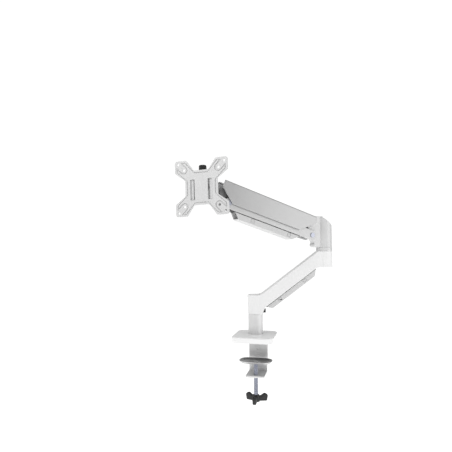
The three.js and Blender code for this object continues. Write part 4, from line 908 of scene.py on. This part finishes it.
def pan_yoke():
    """A bent fork round the knuckle's lugs, with a boss for the tilt bolt."""
    low, high = local_box("pan_yoke", PAN)
    half, sheet, web = high.y, 3.0, 22.0
    lug_x = (place_of("head_tilt") - place_of("head_pan")).to_2d().length / MM
    lug_z = (place_of("head_tilt").z - head_pin.z) / MM
    lug_r, lug_half = high.x - lug_x, 9.0
    outline = arc(0, 0, half, 90, 270, 40) + [(web + 1, -half), (web + 1, half)]
    ears = [slab(outline, z, z + sheet, rim=0.5) for z in (low.z, high.z - sheet)]
    plate = slab(rectangle((-half, half), (low.z, high.z), 1.0), web, web + sheet, "X", 0.5)
    reach = lug_r * 0.9
    arm = rectangle((web + 1, lug_x), (lug_z - reach, lug_z + reach))
    arm = slab(arm, -lug_half, lug_half, "Y", 0.5)
    spindle = local_box("pan_spindle", PAN)[1].y + FIT
    bore = TILT_BOLT_R + FIT
    return cut(
        join(plate, *ears, disc(lug_r, -lug_half, lug_half, "Y", (lug_x, lug_z), 0.6), arm),
        drill(spindle, high.z - sheet, high.z),
        drill(spindle, low.z, low.z + sheet),
        drill(bore, -lug_half, lug_half, "Y", (lug_x, lug_z)),
    )


def tilt_bracket():
    """A bent bracket whose cheeks hold the boss of the yoke."""
    low, high = local_box("tilt_bracket", TILT)
    sheet, r = 3.0, -low.x
    web = high.x - sheet
    plate = slab(rectangle((low.y, high.y), (low.z, high.z), 4, 10), web, high.x, "X", 0.5)
    cheeks = []
    for y in (low.y, high.y - sheet):
        outline = arc(0, 0, r, 90, 270, 32) + [(web + 1, -r), (web + 1, r)]
        cheeks.append(slab(outline, y, y + sheet, "Y", 0.5))
    bore = TILT_BOLT_R + FIT
    tools = [drill(bore, y, y + sheet, "Y") for y in (low.y, high.y - sheet)]
    return cut(join(plate, *cheeks), *tools, drill(bore, web, high.x, "X"))


def hex_nut(node, place, axis):
    """A hexagonal nut with both its faces chamfered."""
    low, high = local_box(node, place)
    k = "XYZ".index(axis)
    span = (low[k], high[k])
    order = {"Z": (0, 1), "Y": (0, 2), "X": (1, 2)}[axis]
    centre = tuple((low[i] + high[i]) / 2 for i in order)
    r = (high[order[0]] - low[order[0]]) / 2
    bore = r - 3 + FIT
    body = slab(hexagon(r, *centre), *span, axis)
    drop = 0.9
    cone = lathe([(0, span[0]), (r - drop, span[0]), (r + 0.2, span[0] + drop * 0.6),
                  (r + 0.2, span[1] - drop * 0.6), (r - drop, span[1]), (0, span[1])], axis, centre)
    return cut(meet(body, cone), drill(bore, *span, axis, centre, 0.4))


# ------------------------------------------------------------------ plate

def quick_release_frame():
    """A square plate with two rails that the cross slides over, and the latch's housing."""
    low, high = local_box("quick_release_frame", PLATE)
    hub = local_box("rotation_hub", PLATE)
    sheet = 3.0
    back = hub[0].x + FIT
    front = back + sheet
    plate = slab(rectangle((low.y, high.y), (low.z, -low.z), 5, 10), back, front, "X", 0.5)
    rails = []
    for side in (-1, 1):
        across = sorted((side * 17.5, side * (high.y - 3)))
        rails.append(slab(rectangle(across, (-25, 17), 1), front - 0.5, high.x, "X", 0.5, 0.0))
    knob = local_box("release_knob", PLATE)
    x = (knob[0].x + knob[1].x) / 2
    housing = slab(rectangle((x - 6.5, front), (-6.5, 6.5), 1.2), 19, high.z, rim=0.7)
    hub_r = 12.0 + FIT
    return cut(join(plate, *rails, housing), drill(hub_r, back, front, "X", sides=SIDES),
               disc(2.8, 22, high.z + 1, centre=(x, 0)))


def release_knob():
    """A round grip with flutes, on a collar and the latch's plunger."""
    low, high = local_box("release_knob", PLATE)
    x = (low.x + high.x) / 2
    r = high.y
    base = high.z - 12.0
    flutes, sides = 24, 192

    def ring(radius, z, depth):
        loop = []
        for i in range(sides):
            a = 2 * math.pi * i / sides
            reach = radius - depth * (0.5 - 0.5 * math.cos(flutes * a)) ** 2
            loop.append((x + reach * math.cos(a), reach * math.sin(a), z))
        return loop

    top = high.z
    grip = loft([ring(r - 1, base + 2, 0), ring(r - 0.2, base + 2.6, 0.2), ring(r, base + 3.4, 0.55),
                 ring(r - 0.3, top - 1.8, 0.55), ring(r - 0.7, top - 0.8, 0.2), ring(r - 1.5, top - 0.1, 0),
                 ring(r - 2.6, top, 0), ring(r - 3.4, top - 0.5, 0)])
    collar = disc(r - 2, base, base + 2.5, centre=(x, 0), rim=0.3)
    plunger = disc(2.5, low.z, base + 3, centre=(x, 0), rim=0.4, sides=48)
    return join(grip, collar, plunger)


PLATE_HALF = 57.5
GROOVE = 1.6
GROOVE_DEPTH = 1.1
SLOT_HALF = 4.75
SLOT_PLACE = 19
VESA = (100, 75)


def cross_outline(d):
    """The cross with its four forked tips, pulled in by d."""
    tip, waist = PLATE_HALF - d, 35.5 - d
    flat_half, inner = 16 - d * 0.35, 32 + d * 0.45
    quarter = [(flat_half, waist, 2), (inner, tip, 2), (tip, tip, max(6 - d, 1.5)), (tip, inner, 2),
               (waist, flat_half, 2)]
    points = []
    for i, (su, sv) in enumerate(((1, 1), (1, -1), (-1, -1), (-1, 1))):
        for u, v, r in (quarter[::-1] if i % 2 else quarter):
            points.append((su * u, sv * v, r))
    return rounded(points, 8)


def vesa_plate():
    """The cross with its raised field, the groove round that, two slots and two squares of holes."""
    low, high = local_box("vesa_plate", PLATE)
    back, face, sheet = low.x, high.x, 2.0
    front = back + sheet
    plate = slab(cross_outline(0), back, front, "X", 0.7)
    large, small = VESA[0] / 2, VESA[1] / 2
    corners = [(a, b) for a in (-1, 1) for b in (-1, 1)]

    def field(grow, bottom, top, rim=0.0):
        """The raised cross, grown by that much, with the tips left clear from the small holes outwards."""
        clearings = []
        for a, b in corners:
            gap = slab(rectangle((0, 36), (grow - 8, 8 - grow), 0.5), bottom - 1, top + 9, "X")
            turn = Matrix.Rotation(math.atan2(b, a), 4, "X")
            gap.data.transform(Matrix.Translation((0, a * small, b * small)) @ turn)
            clearings += [gap, disc(8 - grow, bottom - 1, top + 9, "X", (a * small, b * small))]
        return cut(slab(cross_outline(6 - grow), bottom, top, "X", rim, 0.0), *clearings)

    raised = field(0, front - 0.5, face, 0.6)
    holes = [drill(2.5, back, front, "X", (a * large, b * large), 0.3) for a, b in corners]
    holes += [drill(2.75, back, front, "X", (a * small, b * small), 0.3) for a, b in corners]
    slots = [slab(rectangle((y - SLOT_HALF, y + SLOT_HALF), (-25, 17), 1.2), back - 9, face + 9, "X")
             for y in (-SLOT_PLACE, SLOT_PLACE)]
    groove = cut(field(GROOVE, front - GROOVE_DEPTH, front + 1), field(0, back - 1, front + 2))
    return cut(join(cut(plate, groove), raised), *holes, *slots)


# ------------------------------------------------------------------ all pieces

def make(place, *makers):
    """Makes the pieces whose functions have their nodes' names."""
    for maker in makers:
        piece(maker(), maker.__name__, place)


def turn(place, axis, *nodes, rim=0.35):
    """Makes turned pieces with rims of that radius."""
    for node in nodes:
        piece(turned(node, place, axis, rim), node, place)


def build_base():
    make(BASE, base_cover, desk_pad, top_bracket, lower_bracket, pressure_dish, clamp_screw, wing_knob)
    turn(BASE, "Y", "bracket_bolt_upper", "bracket_bolt_lower")
    turn(BASE, "Z", "pole", "pole_spindle", "pole_washer", "pole_retaining_screw", "pole_screw", "dish_rivet")


def build_lower_arm():
    make(LOWER, lower_arm_shell)
    turn(LOWER, "Z", "pole_cap", "pole_bush_lower", "pole_bush_upper", "elbow_bush")
    turn(LOWER, "X", "friction_screw")
    slope, start = web_line()
    along = LOWER.to_3x3() @ Vector((1, 0, slope))
    under = axes(LOWER @ (Vector((start.x, 0, start.z)) * MM), along, UP)
    low, high = local_box("lower_cable_cover", under)
    cover = cable_cover((low.x, high.x), (11, 13), -low.z, (low.x + 38, high.x - 38))
    piece(cover, "lower_cable_cover", under)


def build_elbow():
    make(ELBOW, elbow_knuckle)
    turn(ELBOW, "Z", "elbow_ring", "elbow_spindle", "elbow_washer", "elbow_retaining_screw", "tension_screw")
    turn(ELBOW, "Y", "spring_anchor_pin", "elbow_upper_pin", "elbow_lower_pin")
    piece(refined("tension_block", ELBOW, 0.4), "tension_block", ELBOW)


def build_upper_arm():
    make(UPPER, upper_arm_cover)
    piece(channel_link("upper_link", UPPER, (22, LENGTH - 22), True), "upper_link", UPPER)
    piece(channel_link("lower_link", UNDER, (28, LENGTH - 26), False), "lower_link", UNDER)
    turn(UPPER, "Y", "spring_head_pin")
    make(STRUT, gas_cylinder, gas_rod)
    low, high = local_box("upper_cable_cover", UNDER)
    link_low = local_box("lower_link", UNDER)[0].z
    under = UNDER @ Matrix.Translation((0, 0, link_low * MM))
    cover = cable_cover((low.x, high.x), (19, 12), link_low - low.z, (low.x + 30, high.x - 46))
    piece(cover, "upper_cable_cover", under)


def build_head():
    make(HEAD, head_knuckle)
    turn(HEAD, "Y", "head_upper_pin", "head_lower_pin")
    make(PAN, pan_yoke)
    turn(PAN, "Z", "pan_spindle", "pan_washer_upper", "pan_washer_lower", rim=0.2)
    piece(hex_nut("pan_nut", PAN, "Z"), "pan_nut", PAN)
    make(TILT, tilt_bracket)
    turn(TILT, "Y", "tilt_bolt", "tilt_washer_left", "tilt_washer_right", rim=0.2)
    turn(TILT, "X", "rotation_hub", "hub_bolt", rim=0.3)
    piece(hex_nut("tilt_nut", TILT, "Y"), "tilt_nut", TILT)
    piece(hex_nut("hub_nut", TILT, "X"), "hub_nut", TILT)


def build_plate():
    make(PLATE, quick_release_frame, vesa_plate, release_knob)


# ------------------------------------------------------------------ studio

CAMERA_PLACE = (0.17695, -1.04545, 0.21227)
CAMERA_YAW = 13.458
CAMERA_PITCH = 3.292
CAMERA_ROLL = -0.142
LENS = 34.366
SENSOR = 36
FLOOR = -0.55
FLOOR_HALF = 6.0
FLOOR_GLOW = 0.62
BACKDROP_LIGHT = 1.05
ROOM_LIGHT = 0.54
ROOM_DIM = (0.22, 0.22, 0.23, 1)
ROOM_LIFT = -4
WHITE = (1, 1, 1, 1)


def camera():
    """The camera, at the place and angle from which the arm is seen."""
    data = bpy.data.cameras.new("camera")
    data.sensor_width = SENSOR
    data.lens = LENS
    obj = bpy.data.objects.new("camera", data)
    bpy.context.scene.collection.objects.link(obj)
    turn = Matrix.Rotation(math.radians(CAMERA_YAW), 4, "Z")
    look = Matrix.Rotation(math.radians(90 + CAMERA_PITCH), 4, "X")
    roll = Matrix.Rotation(math.radians(CAMERA_ROLL), 4, "Z")
    obj.matrix_world = Matrix.Translation(CAMERA_PLACE) @ turn @ look @ roll
    bpy.context.scene.camera = obj


def area_light(name, place, aim, size, power):
    """A soft light of that size in metres and power in watts, turned towards aim."""
    data = bpy.data.lights.new(name, "AREA")
    data.shape = "RECTANGLE"
    data.size, data.size_y = size
    data.energy = power
    obj = bpy.data.objects.new(name, data)
    bpy.context.scene.collection.objects.link(obj)
    obj.location = place
    obj.rotation_euler = (Vector(aim) - Vector(place)).to_track_quat("-Z", "Y").to_euler()


def surroundings():
    """A white backdrop, and for light and reflections a room that is dim low behind and bright elsewhere."""
    world = bpy.data.worlds.new("studio")
    bpy.context.scene.world = world
    world.use_nodes = True
    tree = world.node_tree
    backdrop = tree.nodes["Background"]
    backdrop.inputs["Color"].default_value = WHITE
    backdrop.inputs["Strength"].default_value = BACKDROP_LIGHT
    room = node_of(tree, "ShaderNodeBackground", Strength=ROOM_LIGHT)
    where = node_of(tree, "ShaderNodeTexCoord")
    split = node_of(tree, "ShaderNodeSeparateXYZ")
    shade = node_of(tree, "ShaderNodeMix", data_type="RGBA")
    shade.inputs["A"].default_value = WHITE
    shade.inputs["B"].default_value = ROOM_DIM
    path = node_of(tree, "ShaderNodeLightPath")
    either = node_of(tree, "ShaderNodeMixShader")
    lift = node_of(tree, "ShaderNodeMath", operation="MULTIPLY_ADD")
    lift.inputs[1].default_value = ROOM_LIFT
    links(tree, (where.outputs["Generated"], split.inputs["Vector"]),
          (split.outputs["Z"], lift.inputs[0]), (split.outputs["Y"], lift.inputs[2]),
          (mapped(tree, lift.outputs["Value"], 0.0, 1.0, 0.2, 0.9), shade.inputs["Factor"]),
          (shade.outputs["Result"], room.inputs["Color"]),
          (path.outputs["Is Camera Ray"], either.inputs[0]),
          (room.outputs["Background"], either.inputs[1]),
          (backdrop.outputs["Background"], either.inputs[2]),
          (either.outputs["Shader"], tree.nodes["World Output"].inputs["Surface"]))


def floor():
    """A pale floor that glows a little, so that it stays as light as the backdrop."""
    bm = bmesh.new()
    bmesh.ops.create_grid(bm, x_segments=8, y_segments=8, size=FLOOR_HALF)
    bmesh.ops.translate(bm, verts=bm.verts, vec=(0, 0, FLOOR))
    obj = linked(bm)
    obj.name = "studio_floor"
    pale = finish("pale floor", gray(250), 0.9, lumps=2, vary=0.005, grain=60, bump=0.02, edge_wear_and_painted_light=1.0)
    shader = pale.node_tree.nodes["Principled BSDF"]
    shader.inputs["Emission Color"].default_value = WHITE
    shader.inputs["Emission Strength"].default_value = FLOOR_GLOW
    obj.data.materials.append(pale)


bpy.context.scene.view_settings.view_transform = "Standard"
build_base()
build_lower_arm()
build_elbow()
build_upper_arm()
build_head()
build_plate()
camera()
surroundings()
floor()
area_light("key", (-0.9, -1.5, 1.3), (0, 0, 0.15), (1.2, 1.2), 9)
area_light("side", (1.5, -0.2, 0.35), (0.1, 0, 0.25), (0.9, 1.2), 3.6)
area_light("top", (0.1, -0.1, 1.6), (0.05, 0, 0.2), (1.0, 1.0), 5)
